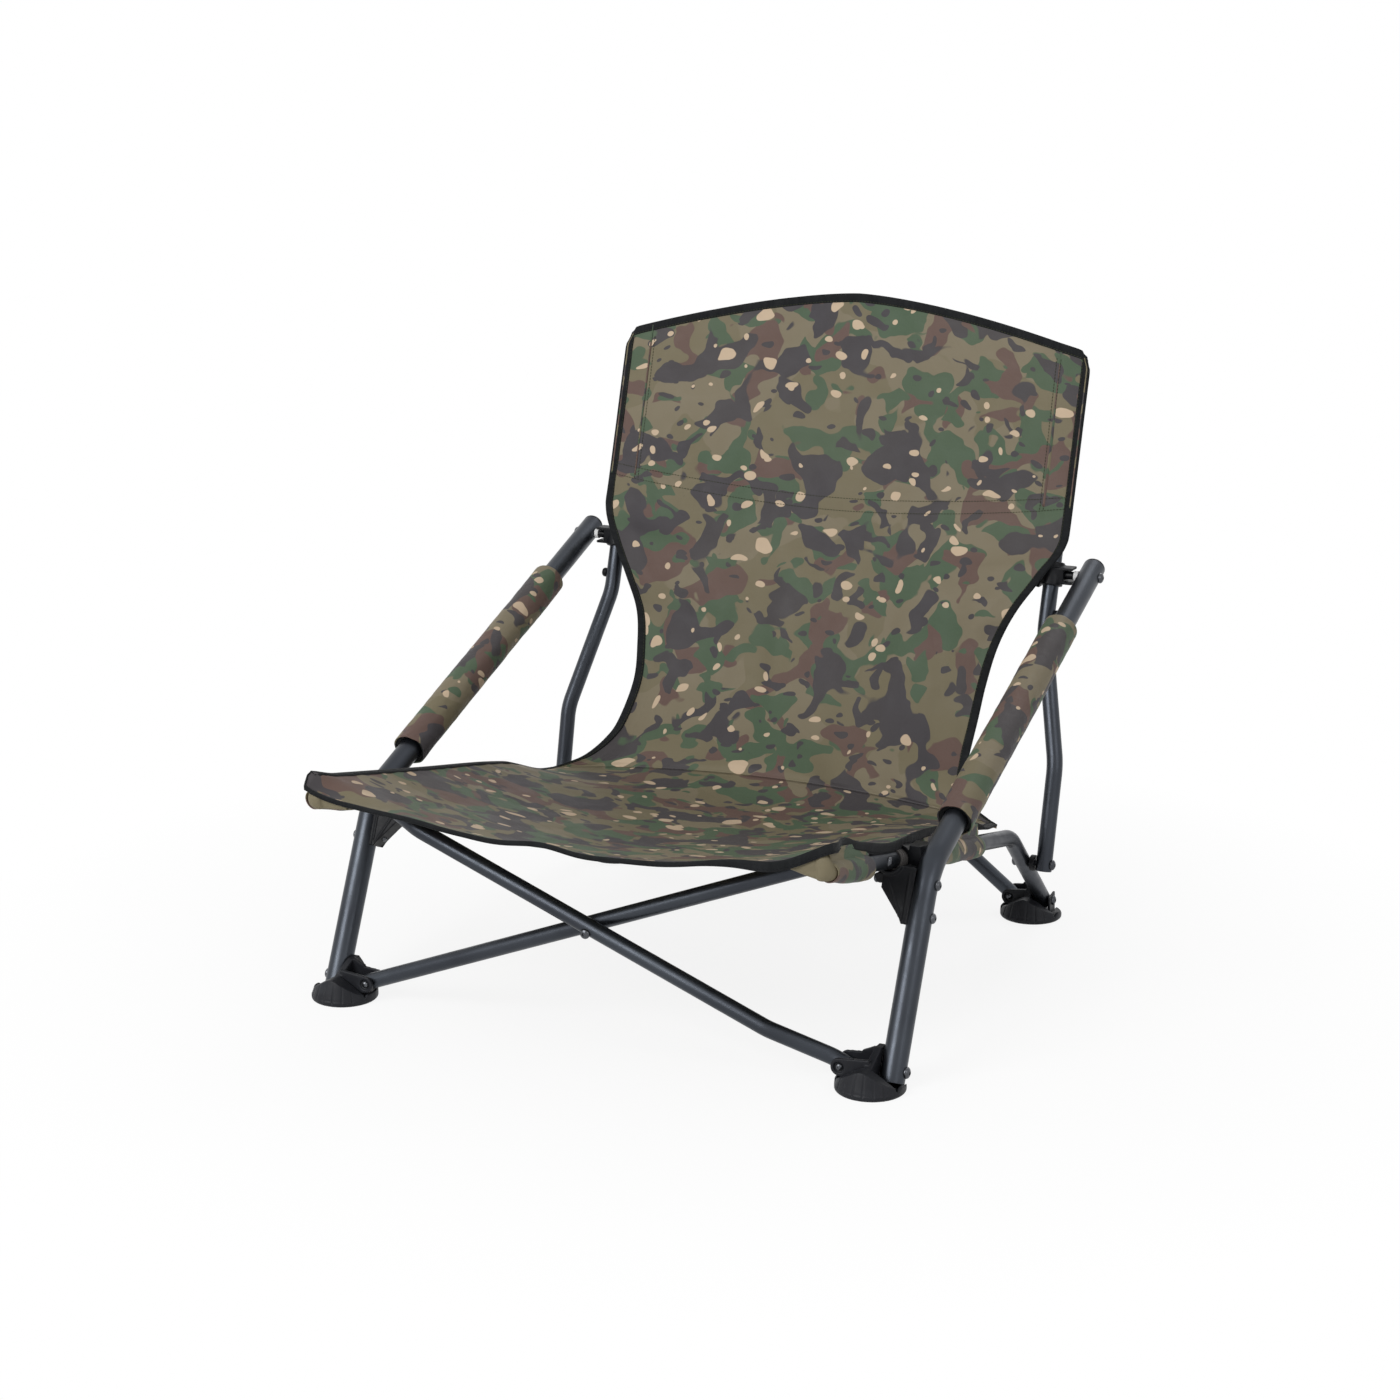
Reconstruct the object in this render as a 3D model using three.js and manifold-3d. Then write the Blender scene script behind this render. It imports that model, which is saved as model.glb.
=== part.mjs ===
// Low folding carp fishing chair: a steel tube frame that folds flat to the middle on two tube
// crosses, with a sling of cloth for the seat and back and a padded sleeve on each arm.
// Units are millimetres. X points to the viewer's right when the chair is seen from the front, and
// the pieces on that side are named right. Y points to the rear and Z points up. The origin is on
// the floor, midway between the front edge of the seat and the back of the top edge.
import * as THREE from 'three';
import Module from 'manifold-3d';
import { mergeVertices } from 'three/addons/utils/BufferGeometryUtils.js';

const wasm = await Module();
wasm.setup();

// Clearances and shared small sizes
const seatGap = 0.3;
const runGap = 0.4;
const earGap = 1;
const wallGap = 0.6;
const overrun = 5;
const weldDistance = 0.0001;
const tubeWall = 1.2;

// Back cloth and the pockets that hold the uprights; the frame's width follows the cloth's
const backHalfWidth = 291;
const backCornerY = 354;
const backCornerZ = 640;
const backPeakY = 375;
const backPeakZ = 692.5;
const backColumns = 18;
const joinShare = 0.945;
const pocketRadius = 11.2;
const pocketLowZ = 474;
const pocketHighZ = 634;
const pocketSeamInset = 35;
const pocketInnerX = backHalfWidth - pocketSeamInset;
const uprightInset = 16.5;

// Arm and front leg: one bent tube on each side, in an upright plane
const armTubeRadius = 12.5;
const armOutset = 27;
const armPlaneX = backHalfWidth + armOutset;
const legPivotY = -277;
const legPivotZ = 18;
const legTopY = -202.6;
const legTopZ = 198;
const armBendRadius = 75;
const armEndY = 307;
const armEndZ = 405.9;
const legStub = 6.5;

// Seat rail and rear leg: one bent tube on each side
const railTubeRadius = 9;
const railInset = 9;
const railPlaneX = backHalfWidth - railInset;
const railFrontY = -370;
const railFrontZ = 238.7;
const railBendY = 149;
const railBendZ = 129;
const railBendRadius = 60;
const rearPivotY = 273;
const rearPivotZ = 21;

// Back upright: one tube on each side, bent inwards above its pivot
const uprightTubeRadius = 9;
const uprightOutset = 25;
const uprightPivotX = railPlaneX + uprightOutset;
const uprightPivotY = 196;
const uprightPivotZ = 88;
const uprightFlare = 1;
const uprightLowBendX = uprightPivotX + uprightFlare;
const uprightLowBendY = 221;
const uprightLowBendZ = 198;
const uprightTopX = backHalfWidth - uprightInset;
const uprightHighBendY = 272;
const uprightHighBendZ = 335;
const uprightTopY = 363;
const uprightTopZ = 632;
const uprightBendRadius = 90;
const uprightStub = 8;

// Tube crosses
const crossTubeRadius = 8.5;
const crossStub = 6;
const crossTopStub = 3.5;
const frontCrossY = -296;
const frontClevisInset = 12;
const frontClevisX = railPlaneX - frontClevisInset;
const frontClevisZ = 20.5;
const frontTopInset = 22;
const frontTopPinX = railPlaneX - frontTopInset;
const frontTopPinZ = 226.5;
const frontCrossPinZ = 121;
const frontCrossRise = 5.5;
const frontBowOffset = 17.6;
const frontBowInset = 74;
const frontBowHalfWidth = frontClevisX - frontBowInset;
const frontBowEndShare = 0.84;
const crossBendRadius = 45;
const rearCrossBendRadius = 180;
const rearClevisInset = 39;
const rearClevisX = railPlaneX - rearClevisInset;
const rearClevisY = 279;
const rearClevisZ = 20;
const yokeReach = 31;
const rearTopX = uprightTopX - yokeReach;
const rearTopY = 301;
const rearTopZ = 392;
const rearCrossSpread = 20;

// Pins, rivets and bolts
const pinRadius = 3;
const pinHeadRadius = 5.6;
const pinHeadHeight = 3;
const boltRadius = 2.5;
const boltHeadRadius = 5;
const boltHeadHeight = 3.2;
const washerRadius = 5.6;
const pinSides = 8;
const headTopShare = 0.65;

// Feet
const footRadius = 35.25;
const footChamfer = 1.6;
const footRim = 6;
const humpHeight = 29;
const humpTopRadius = 27;
const humpBackY = -12;
const slotFloor = 3.2;
const footWall = 7.5;
const footWallTop = 46;
const earThickness = 4.4;
const earRadius = 9;
const frontFootInset = 18;
const frontFootX = armPlaneX - frontFootInset;
const frontFootY = -301;
const rearFootInset = 13;
const rearFootX = railPlaneX - rearFootInset;
const rearFootY = 269;

// Arm pads and end caps
const padRadius = 19.3;
const padLowY = -130;
const padHighY = 193;
const padRound = 2.5;
const capLength = 16;
const capDome = 5;
const capShoulderShare = 0.92;
const capTopShare = 0.6;
const capShoulderHeight = 2.5;
const capHeight = 6;

// Saddle bracket that carries the rail beside the front leg
const cradleWall = 3.6;
const cradleFront = 14;
const cradleBack = 36;
const bracketHalfDepth = 12;
const bracketWrap = 6;
const saddleUpperZ = 184;
const saddleLowerZ = 154;
const bracketTipDrop = 14;
const collarRadius = 11;
const collarLength = 24;
const collarFromLeg = 20;
const collarRibs = 3;

// Slide collar on the upright, its pin and the stop below it
const slideCollarRadius = 13;
const slideCollarHeight = 27;
const slideTaper = 1;
const slideTaperShare = 0.8;
const slideRimShare = 0.84;
const slideZ = 399;
const slideArmGap = 5;
const slideBlockReach = armPlaneX - armTubeRadius - slideArmGap - uprightTopX;
const slideBlockHalf = 9.5;
const slideWall = 3;
const barrelRadius = 4.6;
const swivelBossRadius = 8;
const armSpacerRadius = 5.6;
const stopKnobRadius = 5.5;
const stopKnobZ = 355;
const stopKnobTopShare = 0.6;

// Corner joint where a front cross tube meets the seat rail
const cornerPlate = 1.6;
const cornerStudY = -276;
const cornerStudReach = 9;
const cornerHalfHeight = 9;
const cornerEarRadius = 8;

// Yoke between the upper end of a rear cross tube and the slide collar
const yokePlate = 3.4;
const yokeHalfHeight = 9;

// Cloth
const clothThickness = 1.6;
const clothEdge = 0.4;
const backLeanShare = 0.4;
const joinGap = 0.6;
const sleeveRadius = 11;
const sleeveFrontEnd = -248;
const sleeveRearStart = -163;
const sleeveRear = 35;
const finRise = 25;
const finThickness = 2.4;
const seatFrontY = -377;
const joinEdgeX = backHalfWidth * joinShare;
const joinEdgeY = 121;
const joinEdgeZ = 150;
const joinMiddleY = 140;
const joinMiddleZ = 165;
const seatSag = 53;
const seatColumns = 16;
const seatRows = 13;

// Materials
const steel = { color: 0x3c4046, roughness: 0.42, metalness: 0.85 };
const rivetSteel = { color: 0x2a2d31, roughness: 0.35, metalness: 0.9 };
const plastic = { color: 0x16181a, roughness: 0.6, metalness: 0 };
const greyPlastic = { color: 0x4a4b4d, roughness: 0.65, metalness: 0 };
const camouflage = { color: 0x5d5a40, roughness: 0.9, metalness: 0 };

// How finely round pieces are divided
const armSides = 12;
const tubeSides = 10;
const roundSides = 14;
const footSides = 24;
const pieceSides = 12;
const armBendSteps = 5;
const railBendSteps = 4;
const uprightBendSteps = 3;
const crossBendSteps = 2;
const footEarSteps = 8;
const jointEarSteps = 6;

const chair = new THREE.Group();
const vec = (x, y, z) => new THREE.Vector3(x, y, z);

// Radius of a many-sided bore whose flat sides clear a round piece by a gap
const clearBore = (radius, gap, sides) => (radius + gap) / Math.cos(Math.PI / sides);

// Turn a closed three.js geometry into a solid that can be joined and cut
function solid(geometry) {
  const bare = geometry.index ? geometry.toNonIndexed() : geometry.clone();
  for (const name of Object.keys(bare.attributes)) {
    if (name !== 'position') bare.deleteAttribute(name);
  }
  const merged = mergeVertices(bare, weldDistance);
  const points = merged.attributes.position;
  const triangles = [];
  let volume = 0;
  const a = vec(0, 0, 0);
  const b = vec(0, 0, 0);
  const c = vec(0, 0, 0);
  for (let i = 0; i < merged.index.count; i += 3) {
    const [p, q, r] = [0, 1, 2].map((k) => merged.index.getX(i + k));
    if (p === q || q === r || r === p) continue;
    triangles.push([p, q, r]);
    a.fromBufferAttribute(points, p);
    b.fromBufferAttribute(points, q);
    c.fromBufferAttribute(points, r);
    volume += a.dot(b.cross(c));
  }
  const ordered = volume < 0 ? triangles.map(([p, q, r]) => [p, r, q]) : triangles;
  return new wasm.Manifold(new wasm.Mesh({
    numProp: 3,
    vertProperties: Float32Array.from(points.array),
    triVerts: Uint32Array.from(ordered.flat()),
  }));
}

const join = (first, ...rest) => rest.reduce((sum, piece) => sum.add(piece), first);
const cut = (first, ...tools) => tools.reduce((sum, tool) => sum.subtract(tool), first);

// Put a finished solid in the chair as a named mesh; side -1 mirrors it across the middle plane
function addPiece(name, piece, finish, side = 1, place = vec(0, 0, 0)) {
  const mesh = piece.getMesh();
  const geometry = new THREE.BufferGeometry();
  const points = Float32Array.from(mesh.vertProperties);
  const index = Uint32Array.from(mesh.triVerts);
  if (side < 0) {
    for (let i = 0; i < points.length; i += 3) points[i] = -points[i];
    for (let i = 0; i < index.length; i += 3) [index[i], index[i + 1]] = [index[i + 1], index[i]];
  }
  geometry.setAttribute('position', new THREE.BufferAttribute(points, 3));
  geometry.setIndex(new THREE.BufferAttribute(index, 1));
  geometry.computeVertexNormals();
  const object = new THREE.Mesh(geometry, new THREE.MeshStandardMaterial(finish));
  object.name = name;
  object.position.set(place.x * side, place.y, place.z);
  chair.add(object);
}

// Round bar between two points
function bar(start, end, radius, sides = pinSides) {
  const length = start.distanceTo(end);
  const geometry = new THREE.CylinderGeometry(radius, radius, length, sides);
  const turn = new THREE.Quaternion().setFromUnitVectors(vec(0, 1, 0), end.clone().sub(start).normalize());
  geometry.applyQuaternion(turn);
  const middle = start.clone().add(end).multiplyScalar(0.5);
  geometry.translate(middle.x, middle.y, middle.z);
  return solid(geometry);
}

// Turned part: a profile of [radius, distance along the axis] points, set from start towards end
function turned(profile, start, end, sides = pinSides) {
  const geometry = new THREE.LatheGeometry(profile.map(([r, h]) => new THREE.Vector2(r, h)), sides);
  const turn = new THREE.Quaternion().setFromUnitVectors(vec(0, 1, 0), end.clone().sub(start).normalize());
  geometry.applyQuaternion(turn);
  geometry.translate(start.x, start.y, start.z);
  return solid(geometry);
}

function box(low, high) {
  const size = high.clone().sub(low);
  const middle = high.clone().add(low).multiplyScalar(0.5);
  const geometry = new THREE.BoxGeometry(size.x, size.y, size.z);
  geometry.translate(middle.x, middle.y, middle.z);
  return solid(geometry);
}

// Flat outline of [y, z] points, drawn out along X
function plateAcross(outline, fromX, toX) {
  const shape = new THREE.Shape(outline.map(([y, z]) => new THREE.Vector2(y, z)));
  const geometry = new THREE.ExtrudeGeometry(shape, { depth: toX - fromX, bevelEnabled: false });
  geometry.applyMatrix4(new THREE.Matrix4().makeBasis(vec(0, 1, 0), vec(0, 0, 1), vec(1, 0, 0)));
  geometry.translate(fromX, 0, 0);
  return solid(geometry);
}

// Flat outline of [x, z] points, drawn out along Y
function plateAlong(outline, fromY, toY) {
  const shape = new THREE.Shape(outline.map(([x, z]) => new THREE.Vector2(x, z)));
  const geometry = new THREE.ExtrudeGeometry(shape, { depth: toY - fromY, bevelEnabled: false });
  geometry.applyMatrix4(new THREE.Matrix4().makeBasis(vec(1, 0, 0), vec(0, 0, 1), vec(0, -1, 0)));
  geometry.translate(0, toY, 0);
  return solid(geometry);
}

// Points on a circle, from one angle to another in degrees
function arcPoints(centreA, centreB, radius, fromDegrees, toDegrees, steps) {
  const points = [];
  for (let i = 0; i <= steps; i += 1) {
    const angle = THREE.MathUtils.degToRad(fromDegrees + (toDegrees - fromDegrees) * i / steps);
    points.push([centreA + radius * Math.cos(angle), centreB + radius * Math.sin(angle)]);
  }
  return points;
}

// Centre line of a bent tube: straight runs between corners, with rounded corners. Rings stand
// only at the two ends and along the bends.
class BentLine extends THREE.Curve {
  constructor(corners, bendRadius, bendSteps) {
    super();
    this.stations = [{ point: corners[0], way: corners[1].clone().sub(corners[0]).normalize() }];
    for (let i = 1; i < corners.length - 1; i += 1) {
      const into = corners[i].clone().sub(corners[i - 1]).normalize();
      const out = corners[i + 1].clone().sub(corners[i]).normalize();
      const turn = into.angleTo(out);
      const reach = bendRadius * Math.tan(turn / 2);
      const start = corners[i].clone().addScaledVector(into, -reach);
      const inward = out.clone().addScaledVector(into, -out.dot(into)).normalize();
      for (let k = 0; k <= bendSteps; k += 1) {
        const angle = turn * k / bendSteps;
        const point = start.clone()
          .addScaledVector(into, bendRadius * Math.sin(angle))
          .addScaledVector(inward, bendRadius * (1 - Math.cos(angle)));
        const way = into.clone().multiplyScalar(Math.cos(angle)).addScaledVector(inward, Math.sin(angle));
        this.stations.push({ point, way });
      }
    }
    const [last, before] = [corners[corners.length - 1], corners[corners.length - 2]];
    this.stations.push({ point: last, way: last.clone().sub(before).normalize() });
  }

  station(u) {
    return this.stations[Math.round(u * (this.stations.length - 1))];
  }

  getPointAt(u, target = vec(0, 0, 0)) {
    return target.copy(this.station(u).point);
  }

  getTangentAt(u, target = vec(0, 0, 0)) {
    return target.copy(this.station(u).way);
  }
}

// Sweep a round section along a bent line; an inner radius above zero leaves it hollow
function sweep(line, outerRadius, innerRadius, sides) {
  const ring = (radius) => arcPoints(0, 0, radius, 0, 360 * (sides - 1) / sides, sides - 1)
    .map(([a, b]) => new THREE.Vector2(a, b));
  const shape = new THREE.Shape(ring(outerRadius));
  if (innerRadius > 0) shape.holes.push(new THREE.Path(ring(innerRadius)));
  const steps = line.stations.length - 1;
  return solid(new THREE.ExtrudeGeometry(shape, { steps, extrudePath: line, bevelEnabled: false }));
}

const rivetProfile = (length, radius, headRadius, headHeight) => [
  [0, -headHeight], [headRadius * headTopShare, -headHeight], [headRadius, 0], [radius, 0], [radius, length],
  [headRadius, length], [headRadius * headTopShare, length + headHeight], [0, length + headHeight],
];

// Rivet or pin with a low head at both ends, whose shank runs from start to end
function rivet(start, end, radius = pinRadius, headRadius = pinHeadRadius, headHeight = pinHeadHeight) {
  return turned(rivetProfile(start.distanceTo(end), radius, headRadius, headHeight), start, end);
}

// Where the straight parts of the arm and the rail run
const legSlope = (legTopY - legPivotY) / (legTopZ - legPivotZ);
const legY = (z) => legPivotY + legSlope * (z - legPivotZ);
const armSlope = (armEndZ - legTopZ) / (armEndY - legTopY);
const armZ = (y) => legTopZ + armSlope * (y - legTopY);
const railSlope = (railBendZ - railFrontZ) / (railBendY - railFrontY);
const railZ = (y) => railBendZ + railSlope * (y - railBendY);
const uprightLean = (uprightTopY - uprightHighBendY) / (uprightTopZ - uprightHighBendZ);
const uprightY = (z) => uprightHighBendY + uprightLean * (z - uprightHighBendZ);

const legWay = vec(0, legTopY - legPivotY, legTopZ - legPivotZ).normalize();
const armWay = vec(0, armEndY - legTopY, armEndZ - legTopZ).normalize();
const railWay = vec(0, railBendY - railFrontY, railBendZ - railFrontZ).normalize();
const rearLegWay = vec(0, rearPivotY - railBendY, rearPivotZ - railBendZ).normalize();
const uprightWay = vec(0, uprightTopY - uprightHighBendY, uprightTopZ - uprightHighBendZ).normalize();

const legPivot = vec(armPlaneX, legPivotY, legPivotZ);
const armLine = new BentLine(
  [
    legPivot.clone().addScaledVector(legWay, -legStub),
    vec(armPlaneX, legTopY, legTopZ),
    vec(armPlaneX, armEndY, armEndZ),
  ],
  armBendRadius,
  armBendSteps,
);

const rearPivot = vec(railPlaneX, rearPivotY, rearPivotZ);
const railLine = new BentLine(
  [
    vec(railPlaneX, railFrontY, railFrontZ),
    vec(railPlaneX, railBendY, railBendZ),
    rearPivot.clone().addScaledVector(rearLegWay, legStub),
  ],
  railBendRadius,
  railBendSteps,
);

const uprightPivot = vec(uprightPivotX, uprightPivotY, uprightPivotZ);
const uprightLowBend = vec(uprightLowBendX, uprightLowBendY, uprightLowBendZ);
const uprightLine = new BentLine(
  [
    uprightPivot.clone().addScaledVector(uprightLowBend.clone().sub(uprightPivot).normalize(), -uprightStub),
    uprightLowBend,
    vec(uprightTopX, uprightHighBendY, uprightHighBendZ),
    vec(uprightTopX, uprightTopY, uprightTopZ),
  ],
  uprightBendRadius,
  uprightBendSteps,
);

const armInner = armPlaneX - armTubeRadius;
const armOuter = armPlaneX + armTubeRadius;
const railInner = railPlaneX - railTubeRadius;
const railOuter = railPlaneX + railTubeRadius;
const holeRadius = pinRadius + seatGap;
const boltHole = boltRadius + seatGap;
const across = (x1, x2, y, z) => [vec(x1, y, z), vec(x2, y, z)];
const slide = vec(armPlaneX, uprightY(slideZ), slideZ);

// Arm and front leg tube with its cross holes
function armLegTube() {
  const tube = sweep(armLine, armTubeRadius, armTubeRadius - tubeWall, armSides);
  const through = (y, z, radius) => bar(...across(armInner - overrun, armOuter + overrun, y, z), radius);
  return cut(
    tube,
    through(legPivotY, legPivotZ, holeRadius),
    through(legY(saddleUpperZ), saddleUpperZ, boltHole),
    through(legY(saddleLowerZ), saddleLowerZ, boltHole),
    through(slide.y, slide.z, holeRadius),
  );
}

// Foam sleeve under its cloth cover, slid over the arm
function armPad() {
  const start = vec(armPlaneX, padLowY, armZ(padLowY));
  const end = vec(armPlaneX, padHighY, armZ(padHighY));
  const length = start.distanceTo(end);
  const bore = clearBore(armTubeRadius, seatGap, roundSides);
  const profile = [
    [bore, 0], [padRadius - padRound, 0], [padRadius, padRound], [padRadius, length - padRound],
    [padRadius - padRound, length], [bore, length], [bore, 0],
  ];
  return turned(profile, start, end, roundSides);
}

// Domed plug in the upper end of the arm
function armEndCap() {
  const end = vec(armPlaneX, armEndY, armEndZ);
  const inside = armTubeRadius - tubeWall - seatGap;
  const profile = [
    [0, -capLength], [inside, -capLength], [inside, seatGap], [armTubeRadius, seatGap],
    [armTubeRadius * capShoulderShare, seatGap + capShoulderHeight],
    [armTubeRadius * capTopShare, seatGap + capDome], [0, seatGap + capHeight],
  ];
  const plug = turned(profile, end, end.clone().add(armWay), armSides);
  const pinRoom = pinRadius + wallGap;
  return cut(plug, bar(...across(armInner - overrun, armOuter + overrun, slide.y, slide.z), pinRoom));
}

// Foot: a round base with a humped front, a wall beside the leg and two ears for a cross tube.
// Its own origin is the middle of the base on the floor, and +X points outwards.
function foot(leg, legRadius, ear) {
  const base = turned(
    [[0, 0], [footRadius - footChamfer, 0], [footRadius, footChamfer], [footRadius, footRim], [0, footRim]],
    vec(0, 0, 0), vec(0, 0, 1), footSides,
  );
  const cone = turned(
    [[0, slotFloor], [footRadius, slotFloor], [footRadius, footRim], [humpTopRadius, humpHeight],
      [0, humpHeight]],
    vec(0, 0, 0), vec(0, 0, 1), footSides,
  );
  const roof = plateAlong(
    [[-footRadius, 0], [footRadius, 0], [footRadius, footRim], [0, humpHeight], [-footRadius, footRim]],
    -footRadius - overrun, humpBackY,
  );
  const hump = cone.intersect(roof);
  const wallOut = leg.x - legRadius - seatGap;
  const wallIn = wallOut - footWall;
  const wallFront = humpBackY - footRim;
  const wallBack = leg.y + earRadius + pinRadius;
  const wall = plateAcross(
    [[wallFront, slotFloor], [wallBack, slotFloor], [wallBack, leg.z + earRadius],
      [leg.y + pinRadius, footWallTop], [leg.y - earRadius, footWallTop],
      [wallFront, humpHeight - footRim]],
    wallIn, wallOut,
  );
  const root = wallIn + footWall / 2;
  const earShape = [
    [root, slotFloor], [root, ear.z + earRadius + slotFloor],
    ...arcPoints(ear.x, ear.z, earRadius, 90, 270, footEarSteps),
  ];
  const body = join(base, hump, wall, ears(earShape, ear.y));
  const slot = box(
    vec(wallOut, humpBackY, slotFloor),
    vec(leg.x + legRadius + seatGap, footRadius + overrun, humpHeight + overrun),
  );
  const headRoom = pinHeadHeight + seatGap + wallGap;
  return cut(
    body, slot,
    bar(vec(wallIn - overrun, leg.y, leg.z), vec(wallOut + overrun, leg.y, leg.z), holeRadius),
    bar(vec(wallIn - headRoom, leg.y, leg.z), vec(wallIn, leg.y, leg.z), pinHeadRadius + wallGap),
    bar(
      vec(ear.x, ear.y - earRadius * 2, ear.z), vec(ear.x, ear.y + earRadius * 2, ear.z), holeRadius,
    ),
  ).intersect(box(
    vec(-footRadius - overrun, -footRadius - overrun, 0),
    vec(footRadius + overrun, footRadius + overrun, footWallTop + overrun),
  ));
}

// The rivet that holds a leg in its foot
function footRivet(leg, legRadius) {
  const inner = leg.x - legRadius - seatGap - footWall;
  return rivet(vec(inner - seatGap, leg.y, leg.z), vec(leg.x + legRadius + seatGap, leg.y, leg.z));
}

// Bracket beside the front leg: a gusset under a half-round cradle in which the rail rests
function saddleBracket() {
  const crossing = vec(railPlaneX, legTopY, railZ(legTopY));
  const cradleRadius = collarRadius + seatGap;
  const outer = cradleRadius + cradleWall;
  const front = crossing.clone().addScaledVector(railWay, -cradleFront);
  const back = crossing.clone().addScaledVector(railWay, cradleBack);
  const pipe = bar(front, back, outer, roundSides);
  const bore = bar(
    front.clone().addScaledVector(railWay, -overrun), back.clone().addScaledVector(railWay, overrun),
    clearBore(collarRadius, seatGap, roundSides), roundSides,
  );
  const upper = vec(0, legY(saddleUpperZ), saddleUpperZ);
  const lower = vec(0, legY(saddleLowerZ), saddleLowerZ);
  const tip = lower.clone().addScaledVector(legWay, -bracketTipDrop);
  const top = crossing.clone().addScaledVector(legWay, -slideTaper);
  const halfWay = vec(0, -legWay.z, legWay.y).multiplyScalar(bracketHalfDepth);
  const side = (centre) => [
    [centre.y + halfWay.y, centre.z + halfWay.z], [centre.y - halfWay.y, centre.z - halfWay.z],
  ];
  const [tipA, tipB] = side(tip);
  const [topA, topB] = side(top);
  const web = plateAcross([tipA, tipB, topB, topA], railPlaneX - outer, armInner + bracketWrap);
  const wedgeShape = [
    [railPlaneX - outer, upper.z - boltHeadRadius - cradleWall], [armInner - bracketWrap, tip.z],
    [armInner - bracketWrap, tip.z - bracketHalfDepth * 2],
    [railPlaneX - outer - overrun, tip.z - outer * 2],
    [railPlaneX - outer - overrun, upper.z - boltHeadRadius - cradleWall],
  ];
  const wedge = plateAlong(wedgeShape, crossing.y - cradleBack * 2, crossing.y + cradleBack * 2);
  const body = cut(join(cut(web, wedge), pipe), bore);
  const overhang = plateAcross(
    [
      [front.y - overrun * 2, front.z - slideTaper], [back.y + overrun * 2, back.z - slideTaper],
      [back.y + overrun * 2, back.z + outer * 3], [front.y - overrun * 2, front.z + outer * 3],
    ],
    railPlaneX - outer - overrun, armInner + bracketWrap + overrun,
  );
  const legRoom = sweep(armLine, armTubeRadius + seatGap, 0, armSides);
  const hole = (centre) => bar(
    vec(railPlaneX - outer - overrun, centre.y, centre.z), vec(armPlaneX, centre.y, centre.z), boltHole,
  );
  const spotFace = (centre) => bar(
    vec(railPlaneX - outer - overrun, centre.y, centre.z),
    vec(saddleInner(centre.z), centre.y, centre.z), boltHeadRadius + wallGap,
  );
  return cut(body, overhang, legRoom, hole(upper), hole(lower), spotFace(lower));
}

// Where the bracket's inner face lies at a height: its gusset tapers out towards the leg
const saddleTop = () => saddleUpperZ - boltHeadRadius - cradleWall;
const saddleTip = () => saddleLowerZ - bracketTipDrop * legWay.z;
function saddleInner(z) {
  const inner = railPlaneX - collarRadius - seatGap - cradleWall;
  const share = THREE.MathUtils.clamp((saddleTop() - z) / (saddleTop() - saddleTip()), 0, 1);
  return THREE.MathUtils.lerp(inner, armInner - bracketWrap, share);
}

// Bolt through the front leg and the bracket
function saddleBolt(z, innerX) {
  return rivet(
    vec(innerX - seatGap, legY(z), z), vec(armOuter + seatGap, legY(z), z),
    boltRadius, boltHeadRadius, boltHeadHeight,
  );
}

const railHole = (y, z, radius) => bar(
  vec(railInner - overrun, y, z), vec(railOuter + overrun, y, z), radius,
);

function seatRail() {
  const tube = sweep(railLine, railTubeRadius, railTubeRadius - tubeWall, tubeSides);
  const innerHole = bar(
    vec(railInner - overrun, cornerStudY, railZ(cornerStudY)),
    vec(railPlaneX, cornerStudY, railZ(cornerStudY)), holeRadius,
  );
  return cut(
    tube,
    railHole(rearPivotY, rearPivotZ, holeRadius),
    railHole(uprightPivotY, uprightPivotZ, holeRadius),
    innerHole,
  );
}

// Ribbed ring on the rail, which sits in the cradle
function railCollar() {
  const middle = vec(railPlaneX, legTopY, railZ(legTopY)).addScaledVector(railWay, collarFromLeg);
  const start = middle.clone().addScaledVector(railWay, -collarLength / 2);
  const bore = clearBore(railTubeRadius, seatGap, pieceSides);
  const groove = (collarRadius - bore) / 2;
  const profile = [[bore, 0]];
  const pitch = collarLength / (collarRibs * 2 - 1);
  for (let i = 0; i < collarRibs; i += 1) {
    const low = pitch * i * 2;
    profile.push([collarRadius, low], [collarRadius, low + pitch]);
    if (i < collarRibs - 1) {
      const floor = collarRadius - groove;
      profile.push([floor, low + pitch], [floor, low + pitch * 2]);
    }
  }
  profile.push([bore, collarLength], [bore, 0]);
  return turned(profile, start, middle, pieceSides);
}

// Two ears for a cross tube, drawn in the plane of the cross and standing on a plate or wall
function ears(outline, crossY) {
  const half = crossTubeRadius + earGap;
  return join(
    plateAlong(outline, crossY - half - earThickness, crossY - half),
    plateAlong(outline, crossY + half, crossY + half + earThickness),
  );
}

const pinHole = (place) => bar(
  vec(place.x, place.y - footRadius, place.z), vec(place.x, place.y + footRadius, place.z), holeRadius,
);

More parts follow.
